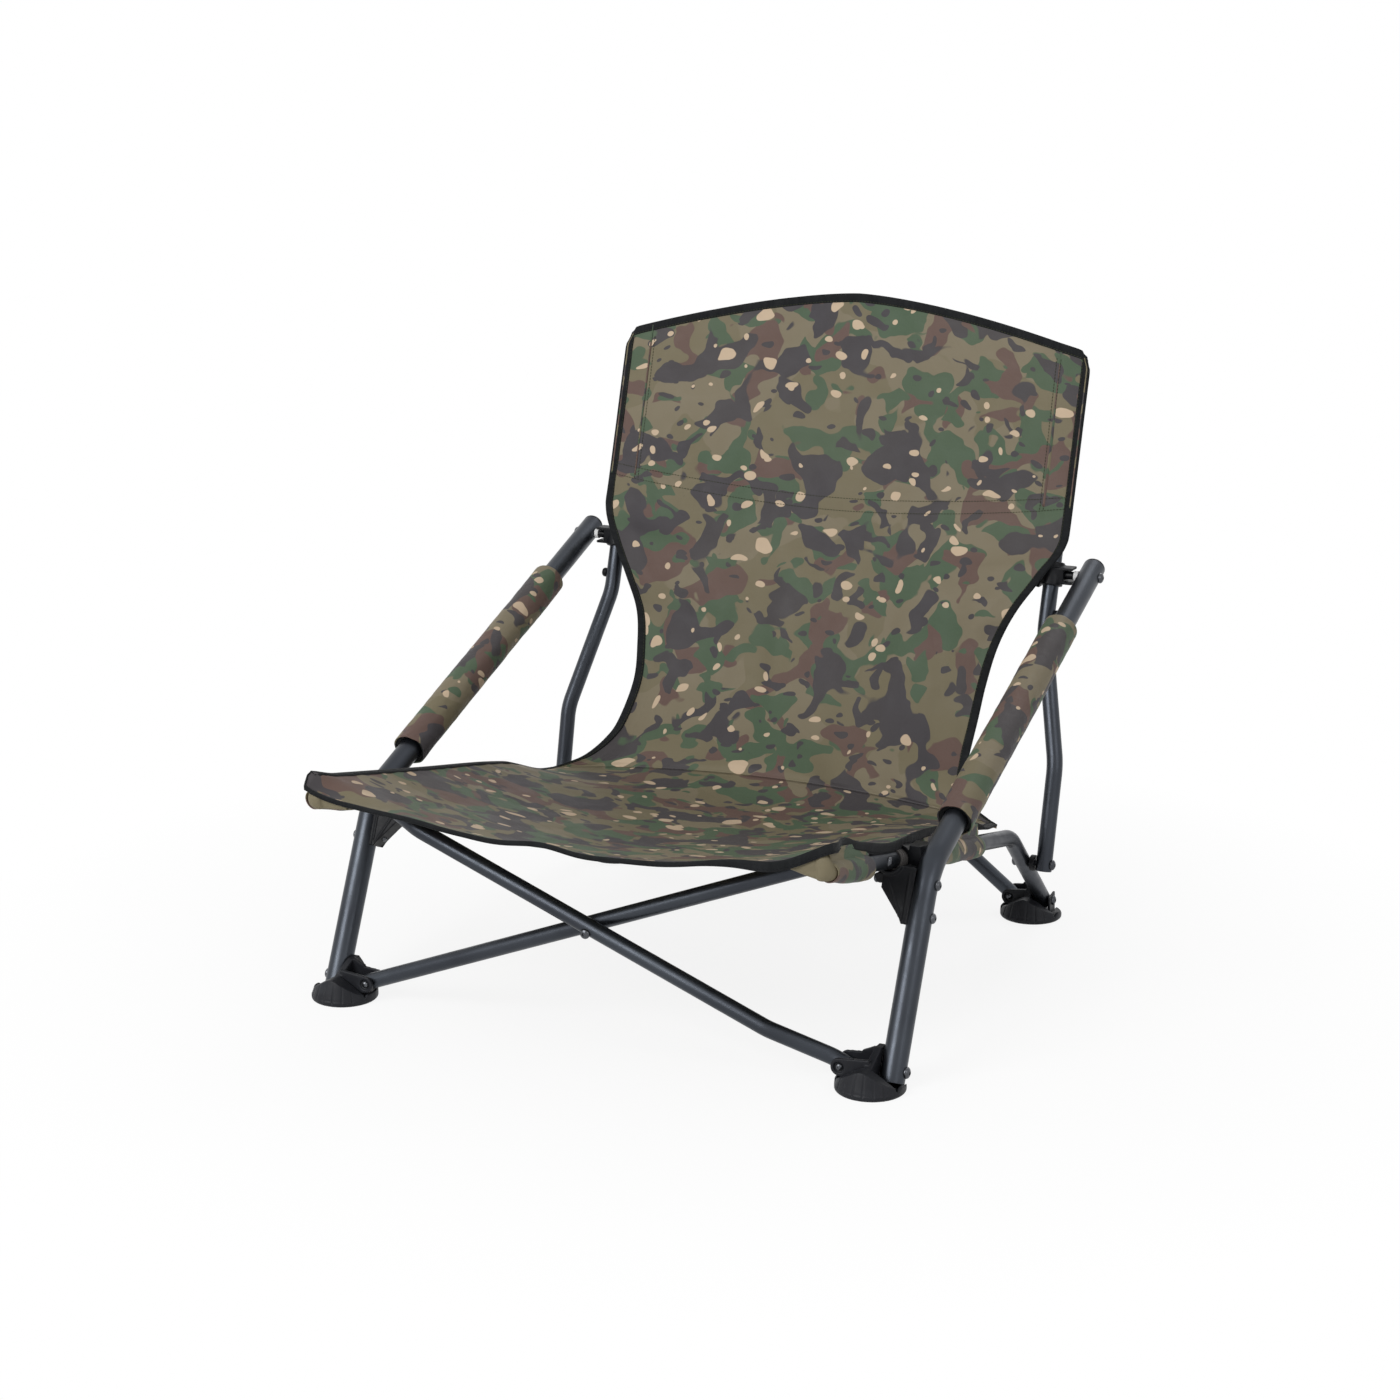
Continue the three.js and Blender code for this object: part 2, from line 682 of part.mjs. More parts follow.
// Corner joint: a plate beside the rail that turns on its own stud in the rail, with two ears
function cornerJoint() {
  const plateOut = railPlaneX - sleeveRadius - seatGap;
  const plateIn = plateOut - cornerPlate;
  const studZ = railZ(cornerStudY);
  const front = frontCrossY - crossTubeRadius - runGap - earThickness;
  const back = cornerStudY + cornerStudReach;
  const plate = plateAcross(
    [
      [front, frontTopPinZ - cornerHalfHeight], [back, studZ - cornerHalfHeight],
      [back, studZ + cornerHalfHeight], [front, frontTopPinZ + cornerHalfHeight],
    ],
    plateIn, plateOut,
  );
  const root = plateIn + cornerPlate / 2;
  const outline = [
    [root, frontTopPinZ - cornerEarRadius], [root, frontTopPinZ + cornerEarRadius],
    ...arcPoints(frontTopPinX, frontTopPinZ, cornerEarRadius, 90, 270, jointEarSteps),
  ];
  const stud = bar(
    vec(plateIn + cornerPlate / 2, cornerStudY, studZ),
    vec(railPlaneX - pinRadius, cornerStudY, studZ), pinRadius,
  );
  const joined = join(plate, ears(outline, frontCrossY), stud);
  return cut(joined, pinHole(vec(frontTopPinX, frontCrossY, frontTopPinZ)));
}

function backUpright() {
  const tube = sweep(uprightLine, uprightTubeRadius, uprightTubeRadius - tubeWall, tubeSides);
  return cut(
    tube,
    bar(
      vec(uprightPivotX - uprightTubeRadius - overrun, uprightPivotY, uprightPivotZ),
      vec(uprightPivotX + uprightTubeRadius + overrun, uprightPivotY, uprightPivotZ), holeRadius,
    ),
  );
}

// Rubber knob on the outer side of the upright, on which the slide collar stops
function stopKnob() {
  const start = vec(uprightTopX + uprightTubeRadius + seatGap, uprightY(stopKnobZ), stopKnobZ);
  return turned(
    [[0, 0], [stopKnobRadius, 0], [stopKnobRadius, stopKnobRadius * stopKnobTopShare],
      [stopKnobRadius * stopKnobTopShare, stopKnobRadius], [0, stopKnobRadius]],
    start, start.clone().add(vec(1, 0, 0)),
  );
}

// Clamp that slides on the upright, with a hollow block that reaches to the arm
function slideCollar() {
  const centre = vec(uprightTopX, slide.y, slide.z);
  const base = centre.clone().addScaledVector(uprightWay, -slideCollarHeight / 2);
  const bore = clearBore(uprightTubeRadius, runGap, roundSides);
  const ring = turned(
    [
      [bore, 0], [slideCollarRadius, 0],
      [slideCollarRadius - slideTaper, slideCollarHeight * slideTaperShare],
      [slideCollarRadius, slideCollarHeight * slideRimShare], [slideCollarRadius, slideCollarHeight],
      [bore, slideCollarHeight], [bore, 0],
    ],
    base, centre, roundSides,
  );
  const blockOut = uprightTopX + slideBlockReach;
  const block = box(
    vec(uprightTopX, slide.y - slideBlockHalf, slide.z - slideBlockHalf),
    vec(blockOut, slide.y + slideBlockHalf, slide.z + slideBlockHalf),
  );
  const pocketFloor = uprightTopX + slideCollarRadius + slideWall;
  const pocket = box(
    vec(pocketFloor, slide.y - slideBlockHalf - overrun, slide.z - slideBlockHalf + slideWall),
    vec(blockOut + overrun, slide.y + slideBlockHalf + overrun, slide.z + slideBlockHalf - slideWall),
  );
  const barrel = bar(
    vec(pocketFloor - slideWall, slide.y, slide.z), vec(blockOut, slide.y, slide.z), barrelRadius,
  );
  const boss = bar(
    vec(uprightTopX - slideCollarRadius, rearTopY, rearTopZ), vec(uprightTopX, rearTopY, rearTopZ),
    swivelBossRadius, pieceSides,
  );
  const tubeRoom = bar(
    centre.clone().addScaledVector(uprightWay, -slideCollarHeight * 2),
    centre.clone().addScaledVector(uprightWay, slideCollarHeight * 2), bore, roundSides,
  );
  return cut(join(ring, cut(block, pocket), barrel, boss), tubeRoom);
}

// Shouldered stud in the arm: its spacer faces the collar's barrel and its head is outside the arm
function armStud() {
  const start = uprightTopX + slideBlockReach + seatGap;
  const spacer = armInner - seatGap - start;
  const shank = armOuter + seatGap - start;
  return turned(
    [
      [0, 0], [armSpacerRadius, 0], [armSpacerRadius, spacer], [pinRadius, spacer], [pinRadius, shank],
      [pinHeadRadius, shank], [pinHeadRadius * headTopShare, shank + pinHeadHeight],
      [0, shank + pinHeadHeight],
    ],
    vec(start, slide.y, slide.z), vec(armPlaneX, slide.y, slide.z),
  );
}

// Yoke on the upper end of a rear cross tube, whose plate bears on the collar's round boss
function rearYoke() {
  const plateOut = uprightTopX - slideCollarRadius - seatGap;
  const plateIn = plateOut - yokePlate;
  const half = crossTubeRadius + earGap + earThickness;
  const plate = box(
    vec(plateIn, rearTopY - half, rearTopZ - yokeHalfHeight),
    vec(plateOut, rearTopY + half, rearTopZ + yokeHalfHeight),
  );
  const root = plateIn + yokePlate / 2;
  const outline = [
    [root, rearTopZ - cornerEarRadius], [root, rearTopZ + cornerEarRadius],
    ...arcPoints(rearTopX, rearTopZ, cornerEarRadius, 90, 270, jointEarSteps),
  ];
  return cut(join(plate, ears(outline, rearTopY)), pinHole(vec(rearTopX, rearTopY, rearTopZ)));
}

function pivotBolt() {
  return rivet(
    vec(railInner - seatGap, uprightPivotY, uprightPivotZ),
    vec(uprightPivotX + uprightTubeRadius + seatGap, uprightPivotY, uprightPivotZ),
  );
}

function pivotSpacer() {
  const start = railOuter + seatGap;
  const length = uprightPivotX - uprightTubeRadius - seatGap - start;
  const bore = pinRadius + seatGap;
  return turned(
    [[bore, 0], [uprightTubeRadius, 0], [uprightTubeRadius, length], [bore, length], [bore, 0]],
    vec(start, uprightPivotY, uprightPivotZ), vec(uprightPivotX, uprightPivotY, uprightPivotZ), pieceSides,
  );
}

// Straight front cross tube, from the mirrored foot up to this side's rail
function drilled(tube, holes) {
  return cut(tube, ...holes.map((place) => bar(
    vec(place.x, place.y - crossTubeRadius - overrun * 5, place.z),
    vec(place.x, place.y + crossTubeRadius + overrun * 5, place.z), holeRadius,
  )));
}

function beyond(from, to, extra) {
  return to.clone().addScaledVector(to.clone().sub(from).normalize(), extra);
}

function frontCrossStraight() {
  const low = vec(-frontClevisX, frontCrossY, frontClevisZ);
  const high = vec(frontTopPinX, frontCrossY, frontTopPinZ);
  const line = new BentLine(
    [beyond(high, low, crossStub), beyond(low, high, crossTopStub)], crossBendRadius, crossBendSteps,
  );
  const tube = sweep(line, crossTubeRadius, crossTubeRadius - tubeWall, tubeSides);
  return drilled(tube, [low, high, vec(0, frontCrossY, frontCrossPinZ)]);
}

// Bowed front cross tube: its middle stands forward to pass in front of the straight one
function frontCrossBowed() {
  const low = vec(frontClevisX, frontCrossY, frontClevisZ);
  const high = vec(-frontTopPinX, frontCrossY, frontTopPinZ);
  const bowY = frontCrossY - frontBowOffset;
  const middleZ = frontCrossPinZ + frontCrossRise;
  const bowLow = vec(frontBowHalfWidth, bowY, middleZ + (low.z - middleZ) * frontBowHalfWidth / low.x);
  const bowHigh = vec(-frontBowHalfWidth, bowY, middleZ - (high.z - middleZ) * frontBowHalfWidth / high.x);
  const nearLow = low.clone().lerp(bowLow, 1 - frontBowEndShare).setY(frontCrossY);
  const nearHigh = high.clone().lerp(bowHigh, 1 - frontBowEndShare).setY(frontCrossY);
  const line = new BentLine(
    [
      beyond(nearLow, low, crossStub), nearLow, bowLow, bowHigh, nearHigh,
      beyond(nearHigh, high, crossTopStub),
    ],
    crossBendRadius, crossBendSteps,
  );
  const tube = sweep(line, crossTubeRadius, crossTubeRadius - tubeWall, tubeSides);
  return drilled(tube, [low, high, vec(0, bowY, frontCrossPinZ)]);
}

function frontCrossPin() {
  const front = frontCrossY - frontBowOffset - crossTubeRadius - seatGap;
  const back = frontCrossY + crossTubeRadius + seatGap;
  return rivet(
    vec(0, front, frontCrossPinZ), vec(0, back, frontCrossPinZ), pinRadius, pinHeadRadius, pinHeadHeight,
  );
}

// Rear cross tubes lean back a little, side by side, and bend apart at the middle
const rearCrossMiddle = vec(0, (rearClevisY + rearTopY) / 2, (rearClevisZ + rearTopZ) / 2);
function rearCross(side, offsetY) {
  const low = vec(side * rearClevisX, rearClevisY, rearClevisZ);
  const high = vec(-side * rearTopX, rearTopY, rearTopZ);
  const middle = rearCrossMiddle.clone().setY(rearCrossMiddle.y + offsetY);
  const corners = [beyond(middle, low, crossStub), middle, beyond(middle, high, crossTopStub)];
  const line = new BentLine(corners, rearCrossBendRadius, crossBendSteps);
  const tube = sweep(line, crossTubeRadius, crossTubeRadius - tubeWall, tubeSides);
  return drilled(tube, [low, high, middle]);
}

// Each rear cross tube has its own half of the crossing pin; the two meet on the middle plane
function rearCrossPinHalf(way) {
  const { y, z } = rearCrossMiddle;
  const washer = rearCrossSpread / 2 - crossTubeRadius - wallGap;
  const shank = rearCrossSpread / 2 + crossTubeRadius + wallGap;
  const start = vec(0, y + way * seatGap / 2, z);
  return turned(
    [
      [0, 0], [washerRadius, 0], [washerRadius, washer], [pinRadius, washer], [pinRadius, shank],
      [pinHeadRadius, shank], [pinHeadRadius * headTopShare, shank + pinHeadHeight],
      [0, shank + pinHeadHeight],
    ],
    start, start.clone().add(vec(0, way, 0)),
  );
}

// Cloth sleeve on the rail with the stiff edge of the seat standing on it; it is open at the saddle
function seatSleeve() {
  const bore = clearBore(railTubeRadius, seatGap, pieceSides);
  const at = (y) => vec(railPlaneX, y, railZ(y));
  const stretch = (fromY, toY) => {
    const line = new BentLine([at(fromY), at(toY)], railBendRadius, railBendSteps);
    return sweep(line, sleeveRadius, bore, pieceSides);
  };
  const bottom = bore + seatGap;
  const fin = plateAcross(
    [
      [railFrontY, railZ(railFrontY) + bottom], [sleeveRear, railZ(sleeveRear) + bottom],
      [sleeveRear, railZ(sleeveRear) + finRise], [railFrontY, railZ(railFrontY) + finRise],
    ],
    railPlaneX, railPlaneX + finThickness,
  );
  const studRoom = bar(
    vec(railInner - overrun, cornerStudY, railZ(cornerStudY)),
    vec(railPlaneX, cornerStudY, railZ(cornerStudY)), holeRadius + seatGap,
  );
  const saddleRoom = bar(at(sleeveFrontEnd), at(sleeveRearStart), collarRadius + wallGap, pieceSides);
  const sleeves = join(stretch(railFrontY, sleeveFrontEnd), stretch(sleeveRearStart, sleeveRear));
  return cut(join(sleeves, fin), studRoom, saddleRoom);
}

// Closed sheet between two surfaces, each given as a function of column share and row share
function sheet(front, back, columns, rows) {
  const positions = [];
  const surfaces = [front, back];
  const at = (layer, i, j) => layer * (columns + 1) * (rows + 1) + j * (columns + 1) + i;
  for (const surface of surfaces) {
    for (let j = 0; j <= rows; j += 1) {
      for (let i = 0; i <= columns; i += 1) {
        const point = surface(i / columns, j / rows);
        positions.push(point.x, point.y, point.z);
      }
    }
  }
  const index = [];
  const quad = (a, b, c, d) => index.push(a, b, c, a, c, d);
  for (let j = 0; j < rows; j += 1) {
    for (let i = 0; i < columns; i += 1) {
      quad(at(0, i, j), at(0, i + 1, j), at(0, i + 1, j + 1), at(0, i, j + 1));
      quad(at(1, i, j), at(1, i, j + 1), at(1, i + 1, j + 1), at(1, i + 1, j));
    }
  }
  for (let i = 0; i < columns; i += 1) {
    quad(at(0, i, 0), at(1, i, 0), at(1, i + 1, 0), at(0, i + 1, 0));
    quad(at(0, i, rows), at(0, i + 1, rows), at(1, i + 1, rows), at(1, i, rows));
  }
  for (let j = 0; j < rows; j += 1) {
    quad(at(0, 0, j), at(0, 0, j + 1), at(1, 0, j + 1), at(1, 0, j));
    quad(at(0, columns, j), at(1, columns, j), at(1, columns, j + 1), at(0, columns, j + 1));
  }
  const geometry = new THREE.BufferGeometry();
  geometry.setAttribute('position', new THREE.Float32BufferAttribute(positions, 3));
  geometry.setIndex(index);
  return solid(geometry);
}

// Smooth value through a list of [share, value] pairs
function along(pairs, share) {
  const last = pairs.length - 1;
  let k = 0;
  while (k < last - 1 && share > pairs[k + 1][0]) k += 1;
  const [[s0, v0], [s1, v1]] = [pairs[k], pairs[k + 1]];
  const t = THREE.MathUtils.clamp((share - s0) / (s1 - s0), 0, 1);
  const slopeAt = (i) => {
    const [a, b] = [pairs[Math.max(i - 1, 0)], pairs[Math.min(i + 1, last)]];
    return (b[1] - a[1]) / (b[0] - a[0]);
  };
  const span = s1 - s0;
  const [m0, m1] = [slopeAt(k) * span, slopeAt(k + 1) * span];
  return (2 * t ** 3 - 3 * t ** 2 + 1) * v0 + (t ** 3 - 2 * t ** 2 + t) * m0
    + (3 * t ** 2 - 2 * t ** 3) * v1 + (t ** 3 - t ** 2) * m1;
}

// Seat: hangs from the sleeves' edges, sags to the middle and runs up into the back
const seatRiseShares = [[0, 1], [0.4, 1], [0.82, 1], [1, (joinEdgeZ - railZ(joinEdgeY)) / finRise]];
const seatSagShares = [[0, 0.94], [0.25, 1], [0.5, 0.97], [0.75, 0.72], [0.9, 0.3], [1, 0]];
const seatBowShares = [[0, 0.37], [0.2, 0], [0.8, 0.1], [1, 1]];
const seatProfile = 2.1;
const joinRisePower = 6.5;

function seatPoint(column, row) {
  const spread = column * 2 - 1;
  const bow = 1 - Math.abs(spread) ** seatProfile;
  const edgeY = THREE.MathUtils.lerp(seatFrontY, joinEdgeY, row);
  const edgeZ = railZ(edgeY) + finRise * along(seatRiseShares, row);
  const halfWidth = THREE.MathUtils.lerp(
    railPlaneX - clothEdge, joinEdgeX, THREE.MathUtils.smoothstep(row, seatRiseShares[2][0], 1),
  );
  const middleRise = (joinMiddleZ - joinEdgeZ) * row ** joinRisePower;
  const drop = seatSag * along(seatSagShares, row) - middleRise;
  const y = edgeY + bow * (joinMiddleY - joinEdgeY) * along(seatBowShares, row);
  return vec(spread * halfWidth, y, edgeZ - bow * drop);
}

function seatPanel() {
  const lower = (column, row) => seatPoint(column, row).add(vec(0, 0, -clothThickness));
  return sheet(seatPoint, lower, seatColumns, seatRows);
}

// Back: each row gives the cloth's edge and its middle as shares between the join and the top.
// Columns are the edge's half width, the edge's Y and Z, and the middle's Y and Z.
const backRowShares = [
  [joinShare, 0, 0, 0, 0],
  [0.9, 0.017, 0.01, 0.042, 0.013],
  [0.825, 0.06, 0.031, 0.106, 0.032],
  [0.77, 0.146, 0.065, 0.179, 0.057],
  [0.749, 0.249, 0.102, 0.255, 0.087],
  [0.742, 0.403, 0.184, 0.349, 0.136],
  [0.753, 0.476, 0.265, 0.447, 0.209],
  [0.78, 0.536, 0.347, 0.519, 0.265],
  [0.842, 0.566, 0.429, 0.587, 0.341],
  [0.928, 0.633, 0.51, 0.668, 0.43],
  [1, 0.731, 0.592, 0.736, 0.502],
  [1, 0.842, 0.755, 0.851, 0.692],
  [1, 0.921, 0.878, 0.919, 0.825],
  [1, 1, 1, 1, 1],
];
const backProfile = 1.5;
const backBlendShare = 0.6;

function backPoint(column, row) {
  const spread = Math.abs(column * 2 - 1);
  const [width, edgeYShare, edgeZShare, middleYShare, middleZShare] =
    backRowShares[Math.round(row * (backRowShares.length - 1))];
  const edgeY = THREE.MathUtils.lerp(joinEdgeY, backCornerY, edgeYShare);
  const edgeZ = THREE.MathUtils.lerp(joinEdgeZ, backCornerZ, edgeZShare);
  const middleY = THREE.MathUtils.lerp(joinMiddleY, backPeakY, middleYShare);
  const middleZ = THREE.MathUtils.lerp(joinMiddleZ, backPeakZ, middleZShare);
  const flat = Math.min(1, spread * backHalfWidth / pocketInnerX) ** 2;
  const blend = Math.min(1, row / backBlendShare);
  const joinBow = spread ** seatProfile;
  return vec(
    Math.sign(column * 2 - 1) * spread * backHalfWidth * width,
    THREE.MathUtils.lerp(middleY, edgeY, THREE.MathUtils.lerp(joinBow, flat, blend)) + joinGap,
    THREE.MathUtils.lerp(middleZ, edgeZ, THREE.MathUtils.lerp(joinBow, spread ** backProfile, blend))
      + joinGap,
  );
}

// The cloth with the two pockets that hold the uprights' upper ends
function backPanel() {
  const slope = vec(0, 1, -1).normalize();
  const through = vec(0, uprightWay.z, -uprightWay.y).lerp(slope, backLeanShare).normalize();
  const behind = (column, row) => backPoint(column, row).addScaledVector(through, clothThickness);
  const cloth = sheet(backPoint, behind, backColumns, backRowShares.length - 1);
  const at = (side, z, extra) => vec(side * uprightTopX, uprightY(z), z).addScaledVector(uprightWay, extra);
  const pockets = [-1, 1].map((side) => bar(
    at(side, pocketLowZ, 0), at(side, pocketHighZ, clothThickness * 2), pocketRadius, pieceSides,
  ));
  const boreRadius = clearBore(uprightTubeRadius, seatGap, pieceSides);
  const bores = [-1, 1].map((side) => bar(
    at(side, pocketLowZ, -overrun), at(side, pocketHighZ, 0), boreRadius, pieceSides,
  ));
  return cut(join(cloth, ...pockets), ...bores);
}

const footPlace = (x, y) => vec(x, y, 0);
const frontLeg = vec(armPlaneX - frontFootX, legPivotY - frontFootY, legPivotZ);
const frontEar = vec(frontClevisX - frontFootX, frontCrossY - frontFootY, frontClevisZ);
const rearLeg = vec(railPlaneX - rearFootX, rearPivotY - rearFootY, rearPivotZ);
const rearEar = vec(rearClevisX - rearFootX, rearClevisY - rearFootY, rearClevisZ);

const pinBetweenEars = (place) => {
  const half = crossTubeRadius + earGap + earThickness + seatGap;
  return rivet(vec(place.x, place.y - half, place.z), vec(place.x, place.y + half, place.z));
};

// Pieces that each side has; the left hand is -1 and the right hand is +1 in X
const sidePieces = [
  ['front_foot', foot(frontLeg, armTubeRadius, frontEar), plastic, footPlace(frontFootX, frontFootY)],
  ['front_foot_rivet', footRivet(frontLeg, armTubeRadius), rivetSteel, footPlace(frontFootX, frontFootY)],
  ['front_foot_pin', pinBetweenEars(frontEar), rivetSteel, footPlace(frontFootX, frontFootY)],
  ['arm_leg_tube', armLegTube(), steel],
  ['arm_pad', armPad(), camouflage],
  ['arm_end_cap', armEndCap(), plastic],
  ['saddle_bracket', saddleBracket(), plastic],
  ['saddle_bolt_upper', saddleBolt(saddleUpperZ, saddleInner(saddleUpperZ)), rivetSteel],
  ['saddle_bolt_lower', saddleBolt(saddleLowerZ, saddleInner(saddleLowerZ)), rivetSteel],
  ['arm_stud', armStud(), rivetSteel],
  ['corner_joint', cornerJoint(), plastic],
  ['corner_pin', pinBetweenEars(vec(frontTopPinX, frontCrossY, frontTopPinZ)), rivetSteel],
  ['seat_rail', seatRail(), steel],
  ['rail_collar', railCollar(), greyPlastic],
  ['seat_sleeve', seatSleeve(), camouflage],
  ['pivot_bolt', pivotBolt(), rivetSteel],
  ['pivot_spacer', pivotSpacer(), plastic],
  ['back_upright', backUpright(), steel],
  ['stop_knob', stopKnob(), plastic],
  ['slide_collar', slideCollar(), plastic],
  ['rear_foot', foot(rearLeg, railTubeRadius, rearEar), plastic, footPlace(rearFootX, rearFootY)],
  ['rear_foot_rivet', footRivet(rearLeg, railTubeRadius), rivetSteel, footPlace(rearFootX, rearFootY)],
  ['rear_foot_pin', pinBetweenEars(rearEar), rivetSteel, footPlace(rearFootX, rearFootY)],
  ['rear_yoke', rearYoke(), plastic],
  ['rear_yoke_pin', pinBetweenEars(vec(rearTopX, rearTopY, rearTopZ)), rivetSteel],
];
for (const [side, hand] of [[-1, 'left'], [1, 'right']]) {
  for (const [name, piece, finish, place] of sidePieces) {
    addPiece(`${hand}_${name}`, piece, finish, side, place);
  }
}

// Pieces that the chair has once
addPiece('front_cross_straight', frontCrossStraight(), steel);
addPiece('front_cross_bowed', frontCrossBowed(), steel);
addPiece('front_cross_pin', frontCrossPin(), rivetSteel);
addPiece('rear_cross_back', rearCross(-1, rearCrossSpread / 2), steel);
addPiece('rear_cross_front', rearCross(1, -rearCrossSpread / 2), steel);
addPiece('rear_cross_pin_back', rearCrossPinHalf(1), rivetSteel);
addPiece('rear_cross_pin_front', rearCrossPinHalf(-1), rivetSteel);
addPiece('seat_panel', seatPanel(), camouflage);
addPiece('back_panel', backPanel(), camouflage);

export default chair;
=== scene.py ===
"""Low folding carp fishing chair: smooth tubes, moulded feet and joints, and camouflage cloth
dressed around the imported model. Lengths are written in millimetres and turned into metres."""
import math

import bmesh
import bpy
from mathutils import Matrix, Vector, noise


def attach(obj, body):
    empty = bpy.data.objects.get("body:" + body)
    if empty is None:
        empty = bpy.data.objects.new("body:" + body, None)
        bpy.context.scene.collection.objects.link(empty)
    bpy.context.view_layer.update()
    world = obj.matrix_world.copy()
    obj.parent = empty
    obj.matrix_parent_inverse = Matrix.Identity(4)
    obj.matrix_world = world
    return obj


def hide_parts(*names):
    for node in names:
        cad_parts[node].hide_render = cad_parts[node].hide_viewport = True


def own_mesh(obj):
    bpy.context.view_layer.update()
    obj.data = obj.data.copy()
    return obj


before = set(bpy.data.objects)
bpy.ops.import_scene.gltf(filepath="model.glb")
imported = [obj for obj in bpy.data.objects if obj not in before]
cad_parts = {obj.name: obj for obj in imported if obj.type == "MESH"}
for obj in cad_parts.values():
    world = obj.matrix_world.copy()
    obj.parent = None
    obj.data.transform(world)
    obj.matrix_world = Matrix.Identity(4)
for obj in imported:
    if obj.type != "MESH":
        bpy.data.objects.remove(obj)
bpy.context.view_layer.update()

MM = 0.001
HANDS = (("left", -1), ("right", 1))
UP = Vector((0, 0, 1))
ACROSS = Vector((1, 0, 0))
REARWARD = Vector((0, 1, 0))


def mm(x, y, z):
    return Vector((x, y, z)) * MM


def lerp(a, b, share):
    return a + (b - a) * share


def clamp(value, low=0.0, high=1.0):
    return max(low, min(high, value))


def smoothstep(value, low, high):
    t = clamp((value - low) / (high - low))
    return t * t * (3 - 2 * t)


def ripple(u, v, seed):
    """Smooth noise about zero at a place on a cloth."""
    return noise.noise(Vector((u, v, seed)))


# Where the frame's tubes run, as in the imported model
ARM_X, ARM_RADIUS = 318, 12.5
LEG_PIVOT_Y, LEG_PIVOT_Z = -277, 18
LEG_TOP_Y, LEG_TOP_Z = -202.6, 198
ARM_END_Y, ARM_END_Z = 307, 405.9
ARM_BEND = 75
TUBE_STUB, LEG_STUB, LEG_FORWARD = 6.5, 13.5, 8
RAIL_X, RAIL_RADIUS = 282, 9
RAIL_FRONT_Y, RAIL_FRONT_Z = -370, 238.7
RAIL_BEND_Y, RAIL_BEND_Z = 149, 129
RAIL_BEND = 60
REAR_PIVOT_Y, REAR_PIVOT_Z = 273, 21
UPRIGHT_PIVOT = (307, 196, 88)
UPRIGHT_LOW_BEND = (308, 221, 198)
UPRIGHT_TOP_X = 274.5
UPRIGHT_HIGH_Y, UPRIGHT_HIGH_Z = 272, 335
UPRIGHT_TOP_Y, UPRIGHT_TOP_Z = 363, 632
UPRIGHT_BEND = 90
UPRIGHT_STUB = 8
CROSS_RADIUS = 8.5
CROSS_STUB, CROSS_TOP_STUB = 6, 3.5
FRONT_CROSS_Y = -296
FRONT_CLEVIS_X, FRONT_CLEVIS_Z = 270, 20.5
FRONT_TOP_X, FRONT_TOP_Z = 260, 226.5
FRONT_PIN_Z, FRONT_RISE = 121, 5.5
FRONT_BOW, BOW_HALF_WIDTH, BOW_END_SHARE = 17.6, 196, 0.84
CROSS_BEND, REAR_CROSS_BEND = 45, 180
REAR_CLEVIS = (243, 279, 20)
REAR_TOP = (243.5, 301, 392)
REAR_SPREAD = 10
TUBE_WALL = 1.2
SADDLE_UPPER_Z, SADDLE_LOWER_Z = 184, 154
SLIDE_Z = 399


def leg_y(z):
    return LEG_PIVOT_Y + (LEG_TOP_Y - LEG_PIVOT_Y) / (LEG_TOP_Z - LEG_PIVOT_Z) * (z - LEG_PIVOT_Z)


def arm_z(y):
    return LEG_TOP_Z + (ARM_END_Z - LEG_TOP_Z) / (ARM_END_Y - LEG_TOP_Y) * (y - LEG_TOP_Y)


def rail_z(y):
    return RAIL_BEND_Z + (RAIL_BEND_Z - RAIL_FRONT_Z) / (RAIL_BEND_Y - RAIL_FRONT_Y) * (y - RAIL_BEND_Y)


def upright_y(z):
    lean = (UPRIGHT_TOP_Y - UPRIGHT_HIGH_Y) / (UPRIGHT_TOP_Z - UPRIGHT_HIGH_Z)
    return UPRIGHT_HIGH_Y + lean * (z - UPRIGHT_HIGH_Z)


LEG_WAY = mm(0, LEG_TOP_Y - LEG_PIVOT_Y, LEG_TOP_Z - LEG_PIVOT_Z).normalized()
ARM_WAY = mm(0, ARM_END_Y - LEG_TOP_Y, ARM_END_Z - LEG_TOP_Z).normalized()
RAIL_WAY = mm(0, RAIL_BEND_Y - RAIL_FRONT_Y, RAIL_BEND_Z - RAIL_FRONT_Z).normalized()
REAR_LEG_WAY = mm(0, REAR_PIVOT_Y - RAIL_BEND_Y, REAR_PIVOT_Z - RAIL_BEND_Z).normalized()
UPRIGHT_WAY = mm(0, UPRIGHT_TOP_Y - UPRIGHT_HIGH_Y, UPRIGHT_TOP_Z - UPRIGHT_HIGH_Z).normalized()


# Materials
def srgb(red, green, blue):
    """A screen colour from 0 to 255 as a linear colour."""
    def linear(value):
        share = value / 255
        return share / 12.92 if share <= 0.04045 else ((share + 0.055) / 1.055) ** 2.4
    return linear(red), linear(green), linear(blue), 1.0


def add_node(tree, kind, inputs=None, **settings):
    """A new node with its settings, and its inputs given as values or as other nodes' outputs."""
    made = tree.nodes.new(kind)
    for key, value in settings.items():
        setattr(made, key, value)
    for key, value in (inputs or {}).items():
        if isinstance(value, bpy.types.NodeSocket):
            tree.links.new(value, made.inputs[key])
        else:
            made.inputs[key].default_value = value
    return made


